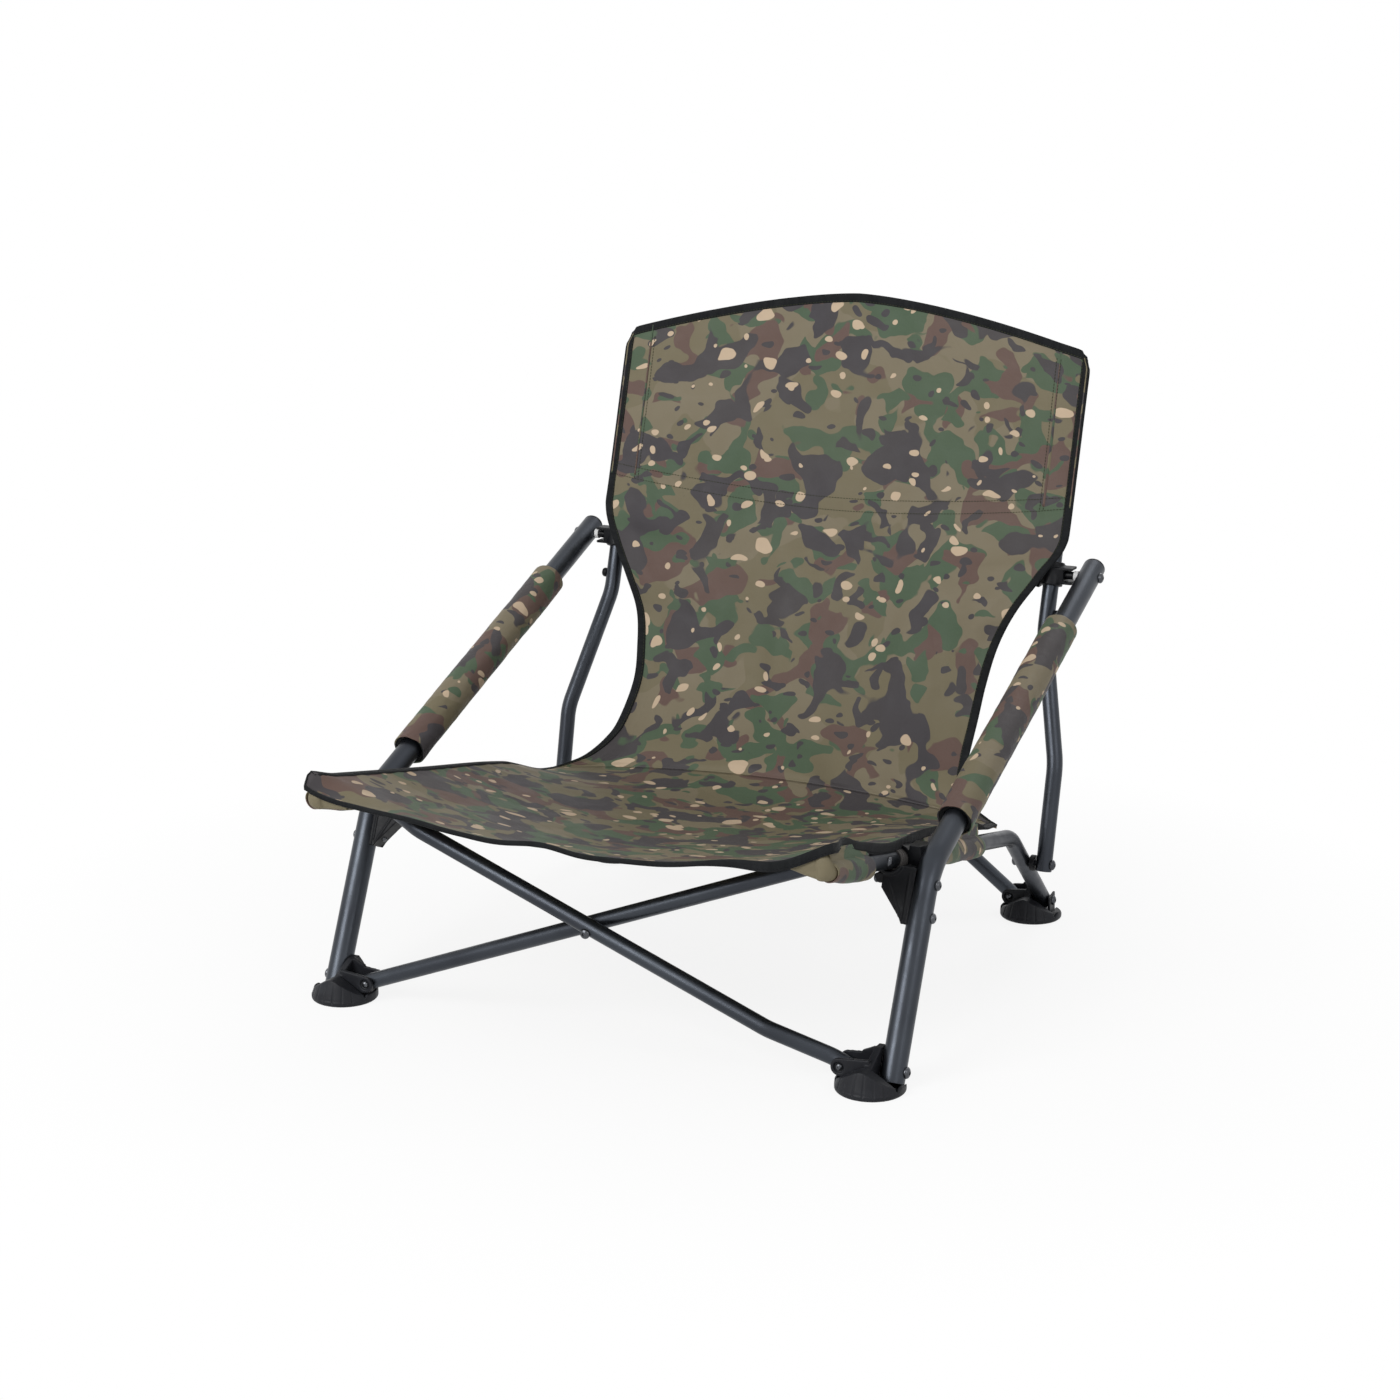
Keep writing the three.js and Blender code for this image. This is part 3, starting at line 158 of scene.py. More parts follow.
class Finish:
    """A node material under construction, with short ways to add and join nodes."""

    def __init__(self, name):
        self.material = bpy.data.materials.new(name)
        self.material.use_nodes = True
        self.tree = self.material.node_tree
        self.shader = self.tree.nodes["Principled BSDF"]
        self.coords = self.tree.nodes.new("ShaderNodeTexCoord")

    def set(self, **values):
        for key, value in values.items():
            self.shader.inputs[key.replace("_", " ")].default_value = value
        return self

    def paint(self, **sockets):
        """Joins other nodes' outputs to the shader's inputs."""
        for key, out in sockets.items():
            self.tree.links.new(out, self.shader.inputs[key.replace("_", " ")])

    def node(self, kind, inputs=None, **settings):
        return add_node(self.tree, "ShaderNode" + kind, inputs, **settings)

    def maths(self, operation, first, second):
        return self.node("Math", {0: first, 1: second}, operation=operation).outputs[0]

    def steer(self, operation, first, second):
        """A vector sum, difference or scaling."""
        key = "Scale" if operation == "SCALE" else 1
        return self.node("VectorMath", {0: first, key: second}, operation=operation).outputs[0]

    def noise(self, vector, scale, detail=2.0, distortion=0.0, roughness=0.5):
        return self.node(
            "TexNoise",
            {"Vector": vector, "Scale": scale, "Detail": detail, "Distortion": distortion,
             "Roughness": roughness},
        ).outputs["Fac"]

    def remap(self, value, low, high, to_low=0.0, to_high=1.0):
        return self.node(
            "MapRange",
            {"Value": value, "From Min": low, "From Max": high, "To Min": to_low, "To Max": to_high},
        ).outputs["Result"]

    def mix(self, factor, first, second):
        return self.node("Mix", {0: factor, 6: first, 7: second}, data_type="RGBA").outputs[2]

    def bump(self, height, strength, distance):
        return self.node(
            "Bump", {"Height": height, "Strength": strength, "Distance": distance}
        ).outputs["Normal"]


def metal_finish(name, dark, light, metallic, roughness):
    """Painted or plated metal: faint clouding, rubbed patches and a fine orange-peel skin."""
    finish = Finish(name)
    place = finish.coords.outputs["Object"]
    cloud = finish.noise(place, 9, 3)
    fine = finish.noise(place, 900, 2)
    finish.paint(
        Base_Color=finish.mix(finish.remap(cloud, 0.35, 0.65), dark, light),
        Roughness=finish.remap(finish.noise(place, 60, 4), 0.3, 0.7, roughness - 0.05, roughness + 0.07),
        Normal=finish.bump(fine, 0.12, 0.0004),
    )
    return finish.set(Metallic=metallic).material


def plastic_finish(name, dark, light, roughness):
    """Moulded plastic with a fine spark-eroded grain and slightly scuffed high spots."""
    finish = Finish(name)
    place = finish.coords.outputs["Object"]
    scuff = finish.remap(finish.noise(place, 35, 5, 0.4), 0.5, 0.75)
    finish.paint(
        Base_Color=finish.mix(scuff, dark, light),
        Roughness=finish.remap(finish.noise(place, 120, 3), 0.3, 0.7, roughness - 0.06, roughness + 0.08),
        Normal=finish.bump(finish.noise(place, 1400, 3), 0.25, 0.0003),
    )
    return finish.set(Specular_IOR_Level=0.16).material


KHAKI = srgb(113, 105, 83)
KHAKI_LIGHT = srgb(122, 113, 93)
LEAF_GREEN = srgb(72, 90, 70)
BARK_BROWN = srgb(96, 76, 70)
SHADOW_GREY = srgb(63, 60, 64)
SAND = srgb(196, 174, 148)


def camouflage_finish(name, seed, soft=False):
    """Woodland camouflage printed on woven cloth. The pattern lies on the piece's own flat map,
    in metres, so it follows the cloth over folds and round the tubes."""
    finish = Finish(name)
    flat = finish.node("UVMap", uv_map="flat").outputs["UV"]
    waver = finish.node("TexNoise", {"Vector": flat, "Scale": 26.0, "Detail": 1.5}).outputs["Color"]
    shift = finish.steer("SUBTRACT", waver, (0.5, 0.5, 0.5))
    bent = finish.steer("ADD", flat, finish.steer("SCALE", shift, 0.03))

    def moved(location, turn, slim):
        return finish.node("Mapping", {
            "Vector": bent, "Location": location, "Rotation": (0, 0, turn), "Scale": (1, slim, 1),
        }).outputs["Vector"]

    def blotch(number, scale, threshold, turn):
        place = moved((seed + number * 7.3, number * 3.1, number * 1.7), turn, 1.15)
        return finish.remap(finish.noise(place, scale, 1.2, 0.5, 0.42), threshold, threshold + 0.009)

    def spots(number, scale, size, share, slim, turn):
        place = moved((seed * 1.3 + number * 5.9, number * 2.3, number * 1.1), turn, slim)
        cells = finish.node(
            "TexVoronoi", {"Vector": place, "Scale": scale, "Randomness": 0.9}, voronoi_dimensions="2D"
        )
        chance = finish.node("SeparateColor", {"Color": cells.outputs["Color"]})
        radius = finish.remap(chance.outputs["Green"], 0, 1, size * 0.45, size)
        crisp = finish.remap(finish.maths("SUBTRACT", radius, cells.outputs["Distance"]), 0, 0.02)
        return finish.maths("MULTIPLY", crisp, finish.maths("LESS_THAN", chance.outputs["Red"], share))

    colour = finish.mix(blotch(1, 9, 0.52, 0.4), KHAKI, KHAKI_LIGHT)
    for number, scale, threshold, turn, tone in (
        (2, 17, 0.555, 0.3, LEAF_GREEN), (3, 18, 0.57, -0.5, BARK_BROWN), (4, 24, 0.605, -0.2, LEAF_GREEN),
        (5, 16, 0.585, 0.6, SHADOW_GREY), (6, 28, 0.625, -0.9, SHADOW_GREY),
    ):
        colour = finish.mix(blotch(number, scale, threshold, turn), colour, tone)
    for number, scale, size, share, slim, turn, tone in (
        (7, 42, 0.3, 0.22, 1.4, 0.5, SHADOW_GREY), (8, 24, 0.27, 0.2, 1.5, -0.6, SAND),
        (9, 48, 0.26, 0.14, 1.0, 0.0, SAND),
    ):
        colour = finish.mix(spots(number, scale, size, share, slim, turn), colour, tone)
    wear = finish.remap(finish.noise(flat, 5, 4), 0.3, 0.8, 0.0, 0.10)
    across, along_cloth = [finish.node(
        "TexWave", {"Vector": flat, "Scale": 420.0, "Distortion": 0.4}, bands_direction=bands
    ).outputs["Fac"] for bands in "XY"]
    crumple = finish.bump(finish.noise(flat, 70, 4, 0.8), 0.35, 0.002 if soft else 0.0012)
    weave = finish.node("Bump", {
        "Height": finish.maths("MULTIPLY", across, along_cloth), "Strength": 0.25, "Distance": 0.0003,
        "Normal": crumple,
    }).outputs["Normal"]
    finish.paint(
        Base_Color=finish.mix(wear, colour, srgb(150, 142, 122)), Normal=weave,
        Roughness=finish.remap(finish.noise(flat, 40, 3), 0.3, 0.7, 0.5, 0.64),
    )
    return finish.set(Specular_IOR_Level=0.22).material


def tape_finish(name, dark, light):
    """Woven edge tape with fine cross ribs."""
    finish = Finish(name)
    flat = finish.node("UVMap", uv_map="flat").outputs["UV"]
    cloud = finish.noise(flat, 60, 3)
    ribs = finish.node("TexWave", {"Vector": flat, "Scale": 260.0, "Distortion": 0.3}, bands_direction="X")
    finish.paint(
        Base_Color=finish.mix(finish.remap(cloud, 0.3, 0.7), dark, light),
        Normal=finish.bump(ribs.outputs["Fac"], 0.5, 0.0003),
        Roughness=finish.remap(finish.noise(flat, 200, 2), 0.3, 0.7, 0.72, 0.88),
    )
    return finish.set(Specular_IOR_Level=0.2, Sheen_Weight=0.05, Sheen_Roughness=0.4).material


TUBE_STEEL = metal_finish("satin_gunmetal_paint", srgb(56, 59, 65), srgb(66, 70, 76), 0.9, 0.35)
DARK_STEEL = metal_finish("blackened_rivet_steel", srgb(66, 68, 72), srgb(96, 98, 102), 0.9, 0.27)
# One moulded nylon in two copies: the darker one paints part of the shade that falls on the brackets and
# joints under the seat, and the lighter one paints the light on the feet.
BLACK_PLASTIC_SHADE_DARKENED = plastic_finish("black_moulded_nylon_shade_darkened", srgb(17, 18, 21), srgb(27, 28, 31), 0.42)
FOOT_PLASTIC_LIT_COPY = plastic_finish("black_moulded_nylon_lit_copy", srgb(33, 34, 38), srgb(44, 46, 50), 0.45)
GREY_PLASTIC = plastic_finish("grey_rubber_collar", srgb(84, 81, 80), srgb(100, 97, 95), 0.6)
CAMOUFLAGE = camouflage_finish("camouflage_cloth_print", 2.0)
PAD_CAMOUFLAGE = camouflage_finish("camouflage_pad_print", 11.0, soft=True)
EDGE_TAPE = tape_finish("black_edge_tape", srgb(14, 16, 18), srgb(24, 26, 28))
LINING = tape_finish("black_foam_lining", srgb(20, 21, 22), srgb(30, 31, 32))
THREAD = plastic_finish("dark_green_thread", srgb(52, 56, 40), srgb(64, 66, 48), 0.7)
TAPE_THREAD = plastic_finish("black_thread", srgb(20, 22, 24), srgb(30, 32, 34), 0.7)


# Mesh tools
def linked(name, data):
    """A new object in the scene."""
    made = bpy.data.objects.new(name, data)
    bpy.context.scene.collection.objects.link(made)
    return made


def shaded(piece, crease):
    """Smooth shading, with edges sharp from an angle in degrees."""
    piece.data.shade_smooth()
    piece.data.set_sharp_from_angle(angle=math.radians(crease))
    return piece


def finished(name, bm, material, crease=35, closed=True):
    """Turns a bmesh into a piece of the chair."""
    if closed:
        bmesh.ops.remove_doubles(bm, verts=bm.verts, dist=1e-6)
        bmesh.ops.recalc_face_normals(bm, faces=bm.faces)
    mesh = bpy.data.meshes.new(name)
    bm.to_mesh(mesh)
    bm.free()
    mesh.materials.append(material)
    return shaded(linked(name, mesh), crease)


def place(piece, body, slot, *nodes):
    """Says which body a piece moves with and the nodes it stands for; its material slot is not used."""
    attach(piece, body)
    if nodes:
        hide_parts(*nodes)
    return piece


def evaluated(piece):
    """Keeps only the mesh that a piece's modifiers make."""
    graph = bpy.context.evaluated_depsgraph_get()
    mesh = bpy.data.meshes.new_from_object(piece.evaluated_get(graph), depsgraph=graph)
    piece.modifiers.clear()
    piece.data = mesh
    mesh.name = piece.name
    return piece


def applied(piece, *modifiers):
    """Runs modifiers, given as (type, settings), and keeps only their result."""
    for kind, settings in modifiers:
        modifier = piece.modifiers.new(kind.lower(), kind)
        for key, value in settings.items():
            setattr(modifier, key, value)
    return evaluated(piece)


def mirrored(piece, name):
    """The same piece on the other side of the chair's middle plane."""
    mesh = piece.data.copy()
    mesh.transform(Matrix.Scale(-1, 4, ACROSS))
    mesh.flip_normals()
    mesh.name = name
    return linked(name, mesh)


def both_hands(made, body, slot, *nodes):
    """Keeps a right-hand piece, adds its mirror image, and says what each of them stands for."""
    left = mirrored(made, made.name.replace("right_", "left_", 1))
    for hand, piece in (("right", made), ("left", left)):
        place(piece, f"{hand}_{body}", slot, *[f"{hand}_{node}" for node in nodes])


def skin(bm, rings):
    """Joins closed rings of equally many points with rows of faces."""
    for low, high in zip(rings, rings[1:]):
        for k in range(len(low)):
            n = (k + 1) % len(low)
            bm.faces.new((low[k], low[n], high[n], high[k]))


def capped(bm, rings):
    """Skins rings and closes both ends with one face each."""
    skin(bm, rings)
    bm.faces.new(rings[0])
    bm.faces.new(rings[-1])


def ring_sweep(bm, rings, sides, up=UP):
    """Joins round rings of (point, way, radius) into a closed skin; radius 0 is a pole."""
    rows = []
    for point, way, radius in rings:
        side = way.cross(up).normalized()
        up = side.cross(way).normalized()
        if radius <= 0:
            rows.append([bm.verts.new(point)])
            continue
        turns = [math.tau * k / sides for k in range(sides)]
        rows.append([bm.verts.new(point + side * (radius * math.cos(a)) + up * (radius * math.sin(a)))
                     for a in turns])
    for low, high in zip(rows, rows[1:]):
        for k in range(sides):
            n = (k + 1) % sides
            if len(low) == 1 and len(high) == 1:
                continue
            if len(low) == 1:
                bm.faces.new((low[0], high[n], high[k]))
            elif len(high) == 1:
                bm.faces.new((low[k], low[n], high[0]))
            else:
                bm.faces.new((low[k], low[n], high[n], high[k]))


def turned(bm, profile, start, way, sides=40):
    """Turned part from [radius, distance] points in millimetres along an axis."""
    way = way.normalized()
    up = UP if abs(way.dot(UP)) < 0.9 else REARWARD
    ring_sweep(bm, [(start + way * (h * MM), way, r * MM) for r, h in profile], sides, up)


def bar(bm, start, end, radius, sides=40):
    """Round bar between two places, with its radius in millimetres."""
    length = (end - start).length / MM
    turned(bm, [(0, 0), (radius, 0), (radius, length), (0, length)], start, end - start, sides)


def block(bm, low, high):
    """Upright box between two opposite corners."""
    corners = [Vector((x, y, z)) for x in (low.x, high.x) for y in (low.y, high.y) for z in (low.z, high.z)]
    v = [bm.verts.new(c) for c in corners]
    for quad in ((0, 1, 3, 2), (4, 6, 7, 5), (0, 4, 5, 1), (2, 3, 7, 6), (0, 2, 6, 4), (1, 5, 7, 3)):
        bm.faces.new([v[i] for i in quad])


def plate(bm, outline, along, low, high):
    """Flat outline drawn out along X (outline of Y, Z) or along Y (outline of X, Z), in millimetres."""
    def point(a, b, depth):
        return mm(depth, a, b) if along == "X" else mm(a, depth, b)
    capped(bm, [[bm.verts.new(point(a, b, depth)) for a, b in outline] for depth in (low, high)])


def arc(a, b, radius, start, stop, steps=16):
    """Points of an arc about (a, b), from one angle to another in degrees."""
    turns = [math.radians(lerp(start, stop, i / steps)) for i in range(steps + 1)]
    return [(a + radius * math.cos(t), b + radius * math.sin(t)) for t in turns]


def bent_line(corners, bend_radius, bend_steps=16):
    """Stations of (point, way) along straight runs with rounded corners."""
    stations = [(corners[0], (corners[1] - corners[0]).normalized())]
    for before, corner, after in zip(corners, corners[1:], corners[2:]):
        into = (corner - before).normalized()
        out = (after - corner).normalized()
        turn = into.angle(out)
        start = corner - into * (bend_radius * MM * math.tan(turn / 2))
        inward = (out - into * out.dot(into)).normalized()
        for k in range(bend_steps + 1):
            angle = turn * k / bend_steps
            offset = into * math.sin(angle) + inward * (1 - math.cos(angle))
            stations.append((start + offset * bend_radius * MM,
                             into * math.cos(angle) + inward * math.sin(angle)))
    stations.append((corners[-1], (corners[-1] - corners[-2]).normalized()))
    return stations


def tube(name, corners, bend_radius, radius, sides=48):
    """Bent tube with open, slightly rounded ends that show the wall and a dark bore."""
    stations = bent_line(corners, bend_radius)
    rim, depth = 0.35 * MM, 14 * MM
    inner, outer = (radius - TUBE_WALL) * MM, radius * MM
    start, start_way = stations[0]
    end, end_way = stations[-1]
    rings = [
        (start + start_way * depth, start_way, 0), (start + start_way * depth, start_way, inner),
        (start + start_way * rim, start_way, inner), (start, start_way, inner + rim),
        (start, start_way, outer - rim), (start + start_way * rim, start_way, outer),
    ]
    rings += [(point, way, outer) for point, way in stations[1:-1]]
    rings += [
        (end - end_way * rim, end_way, outer), (end, end_way, outer - rim),
        (end, end_way, inner + rim), (end - end_way * rim, end_way, inner),
        (end - end_way * depth, end_way, inner), (end - end_way * depth, end_way, 0),
    ]
    bm = bmesh.new()
    ring_sweep(bm, rings, sides, ACROSS if abs(start_way.x) < 0.5 else REARWARD)
    return finished(name, bm, TUBE_STEEL)


def moulded(name, shapes, cutters, material=BLACK_PLASTIC_SHADE_DARKENED, voxel=0.75, smooths=5, thin=0.45):
    """Moulded part: overlapping closed shapes run together, cut, and rounded along every edge."""
    bm = bmesh.new()
    for shape in shapes:
        shape(bm)
    made = finished(name, bm, material)
    remesh = ("REMESH", {"mode": "VOXEL", "voxel_size": voxel * MM, "adaptivity": 0.0})
    applied(made, remesh)
    for number, cutter in enumerate(cutters):
        tool_mesh = bmesh.new()
        cutter(tool_mesh)
        tool = finished(f"{name}_cutter_{number}", tool_mesh, material)
        applied(made, ("BOOLEAN", {"operation": "DIFFERENCE", "solver": "EXACT", "object": tool}))
        bpy.data.objects.remove(tool)
    applied(made, remesh, ("SMOOTH", {"factor": 0.5, "iterations": smooths}), ("DECIMATE", {"ratio": thin}))
    return shaded(made, 60)


# Tubes of the frame
def beyond(start, end, extra):
    """The place some millimetres past the end of a line."""
    return end + (end - start).normalized() * (extra * MM)


def frame_tubes():
    """Arm with front leg, seat rail with rear leg, and back upright of each side."""
    rear_pivot = mm(RAIL_X, REAR_PIVOT_Y, REAR_PIVOT_Z)
    upright_pivot, upright_low = mm(*UPRIGHT_PIVOT), mm(*UPRIGHT_LOW_BEND)
    lines = {
        "arm_leg_tube": ("arm", ARM_BEND, ARM_RADIUS, [
            mm(ARM_X, LEG_PIVOT_Y - LEG_FORWARD, LEG_PIVOT_Z) - LEG_WAY * (LEG_STUB * MM),
            mm(ARM_X, LEG_TOP_Y, LEG_TOP_Z), mm(ARM_X, ARM_END_Y, ARM_END_Z),
        ]),
        "seat_rail": ("rail", RAIL_BEND, RAIL_RADIUS, [
            mm(RAIL_X, RAIL_FRONT_Y, RAIL_FRONT_Z), mm(RAIL_X, RAIL_BEND_Y, RAIL_BEND_Z),
            rear_pivot + REAR_LEG_WAY * (TUBE_STUB * MM),
        ]),
        "back_upright": ("upright", UPRIGHT_BEND, RAIL_RADIUS, [
            beyond(upright_low, upright_pivot, UPRIGHT_STUB), upright_low,
            mm(UPRIGHT_TOP_X, UPRIGHT_HIGH_Y, UPRIGHT_HIGH_Z),
            mm(UPRIGHT_TOP_X, UPRIGHT_TOP_Y, UPRIGHT_TOP_Z),
        ]),
    }
    for kind, (body, bend, radius, corners) in lines.items():
        both_hands(tube(f"right_{kind}_smooth", corners, bend, radius), body, "tube_steel", kind)


def front_crosses():
    """A straight tube and one that bows forward round it."""
    def ends(side):
        """Centres of a tube's lower and upper end, with the lower end on the given side."""
        return (mm(side * FRONT_CLEVIS_X, FRONT_CROSS_Y, FRONT_CLEVIS_Z),
                mm(-side * FRONT_TOP_X, FRONT_CROSS_Y, FRONT_TOP_Z))

    def bow_point(side, end_x, end_z):
        """Corner of the bow, in line with the far end as seen from the front."""
        middle_z = FRONT_PIN_Z + FRONT_RISE
        return mm(side * BOW_HALF_WIDTH, FRONT_CROSS_Y - FRONT_BOW,
                  middle_z + (end_z - middle_z) * BOW_HALF_WIDTH / end_x)

    low, high = ends(-1)
    straight = tube(
        "front_cross_straight_smooth", [beyond(high, low, CROSS_STUB), beyond(low, high, CROSS_TOP_STUB)],
        CROSS_BEND, CROSS_RADIUS,
    )
    place(straight, "front_cross_a", "tube_steel", "front_cross_straight")
    low, high = ends(1)
    bow_low = bow_point(1, FRONT_CLEVIS_X, FRONT_CLEVIS_Z)
    bow_high = bow_point(-1, FRONT_TOP_X, FRONT_TOP_Z)
    near_low = low.lerp(bow_low, 1 - BOW_END_SHARE)
    near_high = high.lerp(bow_high, 1 - BOW_END_SHARE)
    near_low.y = near_high.y = FRONT_CROSS_Y * MM
    bowed = tube(
        "front_cross_bowed_smooth",
        [beyond(near_low, low, CROSS_STUB), near_low, bow_low, bow_high, near_high,
         beyond(near_high, high, CROSS_TOP_STUB)],
        CROSS_BEND, CROSS_RADIUS,
    )
    place(bowed, "front_cross_b", "tube_steel", "front_cross_bowed")


REAR_MIDDLE = Vector([(a + b) / 2 for a, b in zip(REAR_CLEVIS, REAR_TOP)]) * MM
REAR_MIDDLE.x = 0


def rear_crosses():
    """Two tubes that lean apart in the middle, where they cross."""
    for kind, body, side, way in (("back", "rear_cross_a", -1, 1), ("front", "rear_cross_b", 1, -1)):
        low = mm(side * REAR_CLEVIS[0], *REAR_CLEVIS[1:])
        high = mm(-side * REAR_TOP[0], *REAR_TOP[1:])
        middle = REAR_MIDDLE + REARWARD * (way * REAR_SPREAD * MM)
        made = tube(
            f"rear_cross_{kind}_smooth",
            [beyond(middle, low, CROSS_STUB), middle, beyond(middle, high, CROSS_TOP_STUB)],
            REAR_CROSS_BEND, CROSS_RADIUS,
        )
        place(made, body, "tube_steel", f"rear_cross_{kind}")


frame_tubes()
front_crosses()
rear_crosses()


# Moulded feet, brackets and joints
# A foot's base, the hump's ridge and slope, the room for the leg, and the ears for a cross tube
FOOT_RADIUS, FOOT_RIM, HUMP_HEIGHT, HUMP_TOP = 35.25, 6, 29, 27
HUMP_APEX, HUMP_PITCH, HUMP_ROUND, HUMP_LEAN = 29.8, 0.62, 5, 0.359
HUMP_BACK, HUMP_FOOT, HUMP_STEPS, GROOVES = -12, FOOT_RADIUS - 0.6, 40, 6
SLOT_FLOOR, FOOT_WALL, FOOT_WALL_TOP, RIM_TOP, LEG_ROOM_FLOOR = 3.2, 7.5, 38, 10.5, 1.5
FOOT_CHAMFER, FLANGE, GROOVE_RADIUS, GROOVE_FIRST, GROOVE_STEP = 1.6, 2.6, 1.0, 225, 18
# The raised edge of a foot runs between these angles in degrees, in this many steps
RIM_ARCS, RIM_STEPS, RIM_FADE = ((-22, 14), (112, 206)), 16, 14
EAR_THICKNESS, EAR_RADIUS, EAR_GAP, FIT_GAP = 4.4, 9, 1, 0.3
EAR_NEAR = CROSS_RADIUS + EAR_GAP
EAR_FAR = EAR_NEAR + EAR_THICKNESS


def ear_pair(x, y, z, root_x, radius, root_low, root_high):
    """Two ears that stand on a wall at root_x and end round about a pin at (x, z)."""
    outline = [(root_x, root_low), (root_x, root_high), *arc(x, z, radius, 90, 270)]

    def shapes(bm):
        plate(bm, outline, "Y", y - EAR_FAR, y - EAR_NEAR)
        plate(bm, outline, "Y", y + EAR_NEAR, y + EAR_FAR)
    return shapes


def pin_recess(x, y, z, radius=5.6, depth=2.2):
    """Round sinks in the outer faces of a pair of ears."""
    def shapes(bm):
        bar(bm, mm(x, y - EAR_FAR - 5, z), mm(x, y - EAR_FAR + depth, z), radius)
        bar(bm, mm(x, y + EAR_FAR - depth, z), mm(x, y + EAR_FAR + 5, z), radius)
    return shapes


def foot(name, centre, leg, leg_radius, ear, flange):
    """Round base with a humped, ribbed front, a wall beside the leg and two ears for a cross tube.
    The centre is on the floor, and the leg's and the ears' pins are placed from it."""
    cx, cy = centre
    leg_x, leg_y_local, leg_z = leg
    ear_x, ear_y_local, ear_z = ear
    wall_out = leg_x - leg_radius - FIT_GAP
    wall_in = wall_out - FOOT_WALL
    wall_front = HUMP_BACK - FOOT_RIM
    wall_back = leg_y_local + EAR_RADIUS + 3
    root, ear_top = cx + wall_in + FOOT_WALL / 2, ear_z + EAR_RADIUS + 3

    def base(bm):
        turned(bm, [(0, 0), (FOOT_RADIUS - FOOT_CHAMFER, 0), (FOOT_RADIUS, FOOT_CHAMFER),
                    (FOOT_RADIUS, FOOT_RIM - 1), (FOOT_RADIUS - 1, FOOT_RIM), (0, FOOT_RIM)],
               mm(cx, cy, 0), UP, 72)

    def hump(bm):
        """Gabled hump over the front of the base, with a rounded ridge."""
        rows = []
        inset = math.degrees(math.asin(-HUMP_BACK / HUMP_FOOT))
        for height_share in (0, 0.2, 0.4, 0.6, 0.8, 1.0):
            ring = []
            for k in range(HUMP_STEPS + 1):
                angle = math.radians(lerp(180 + inset, 360 - inset, k / HUMP_STEPS))
                radius = HUMP_FOOT
                for _ in range(3):
                    ridge = HUMP_APEX - HUMP_PITCH * math.hypot(radius * math.cos(angle), HUMP_ROUND)
                    z = lerp(SLOT_FLOOR, ridge, height_share)
                    radius = HUMP_FOOT - HUMP_LEAN * max(0, z - FOOT_RIM)
                ring.append(mm(cx + radius * math.cos(angle), cy + radius * math.sin(angle), z))
            back = [Vector((spot.x, (cy + HUMP_BACK + 0.5) * MM, spot.z)) for spot in ring[::-1]]
            rows.append([bm.verts.new(spot) for spot in ring + back])
        skin(bm, rows)
        for row in (rows[0], rows[-1]):
            front, back = row[:HUMP_STEPS + 1], row[HUMP_STEPS + 1:][::-1]
            for k in range(HUMP_STEPS):
                bm.faces.new((front[k], front[k + 1], back[k + 1], back[k]))

    def wall(bm):
        """Wall on the leg's inner side, and a thin flange on its outer side where there is one."""
        outline = [
            (cy + wall_front, SLOT_FLOOR), (cy + wall_back, SLOT_FLOOR),
            (cy + wall_back, leg_z + EAR_RADIUS), (cy + leg_y_local + 3, FOOT_WALL_TOP),
            (cy + leg_y_local - EAR_RADIUS, FOOT_WALL_TOP), (cy + wall_front, HUMP_HEIGHT - FOOT_RIM),
        ]
        plate(bm, outline, "X", cx + wall_in, cx + wall_out)
        if flange:
            low = leg_x + leg_radius + FIT_GAP
            plate(bm, [
                (cy + leg_y_local - 10, SLOT_FLOOR), (cy + leg_y_local + 9, SLOT_FLOOR),
                (cy + leg_y_local + 7, leg_z + 9), (cy + leg_y_local - 12, leg_z + 6),
            ], "X", cx + low, cx + low + FLANGE)

    def web(bm):
        """Sloping web from the top of the wall down to the ears."""
        y = cy + ear_y_local
        x = cx + wall_in
        plate(bm, [(x + 1, SLOT_FLOOR), (x + 1, FOOT_WALL_TOP), (x - 1, FOOT_WALL_TOP),
                   (x - 13, ear_top), (x - 13, SLOT_FLOOR)], "Y", y + EAR_NEAR, y + EAR_FAR)

    def rim(bm):
        """Raised edge of the base, beside the hump."""
        for start, stop in RIM_ARCS:
            rings = []
            for k in range(RIM_STEPS + 1):
                turn = lerp(start, stop, k / RIM_STEPS)
                fade = smoothstep(turn, start, start + RIM_FADE)
                fade *= 1 - smoothstep(turn, stop - RIM_FADE, stop)
                c, sn = math.cos(math.radians(turn)), math.sin(math.radians(turn))
                top = lerp(FOOT_RIM - 1, RIM_TOP, fade)
                rings.append([bm.verts.new(mm(cx + r * c, cy + r * sn, z)) for r, z in (
                    (FOOT_RADIUS, SLOT_FLOOR), (FOOT_RADIUS, top - 1), (FOOT_RADIUS - 1, top),
                    (FOOT_RADIUS - 3, top), (FOOT_RADIUS - 4, SLOT_FLOOR))])
            capped(bm, rings)

    ears = ear_pair(cx + ear_x, cy + ear_y_local, ear_z, root, EAR_RADIUS, SLOT_FLOOR, ear_top)

    def slot_room(bm):
        """Room for the leg, open to the back."""
        block(bm, mm(cx + wall_out, cy + HUMP_BACK, LEG_ROOM_FLOOR),
              mm(cx + leg_x + leg_radius + FIT_GAP, cy + FOOT_RADIUS + 5, HUMP_HEIGHT + 30))

    def grooves(bm):
        """Upright grooves round the front of the hump."""
        for k in range(GROOVES):
            angle = math.radians(GROOVE_FIRST + GROOVE_STEP * k)
            way = Vector((math.cos(angle), math.sin(angle), 0))
            foot_point = mm(cx, cy, FOOT_RIM - 2) + way * ((FOOT_RADIUS + 0.2) * MM)
            top_point = mm(cx, cy, HUMP_HEIGHT + 6) + way * ((HUMP_TOP - 1.8) * MM)
            bar(bm, foot_point, top_point, GROOVE_RADIUS, 12)

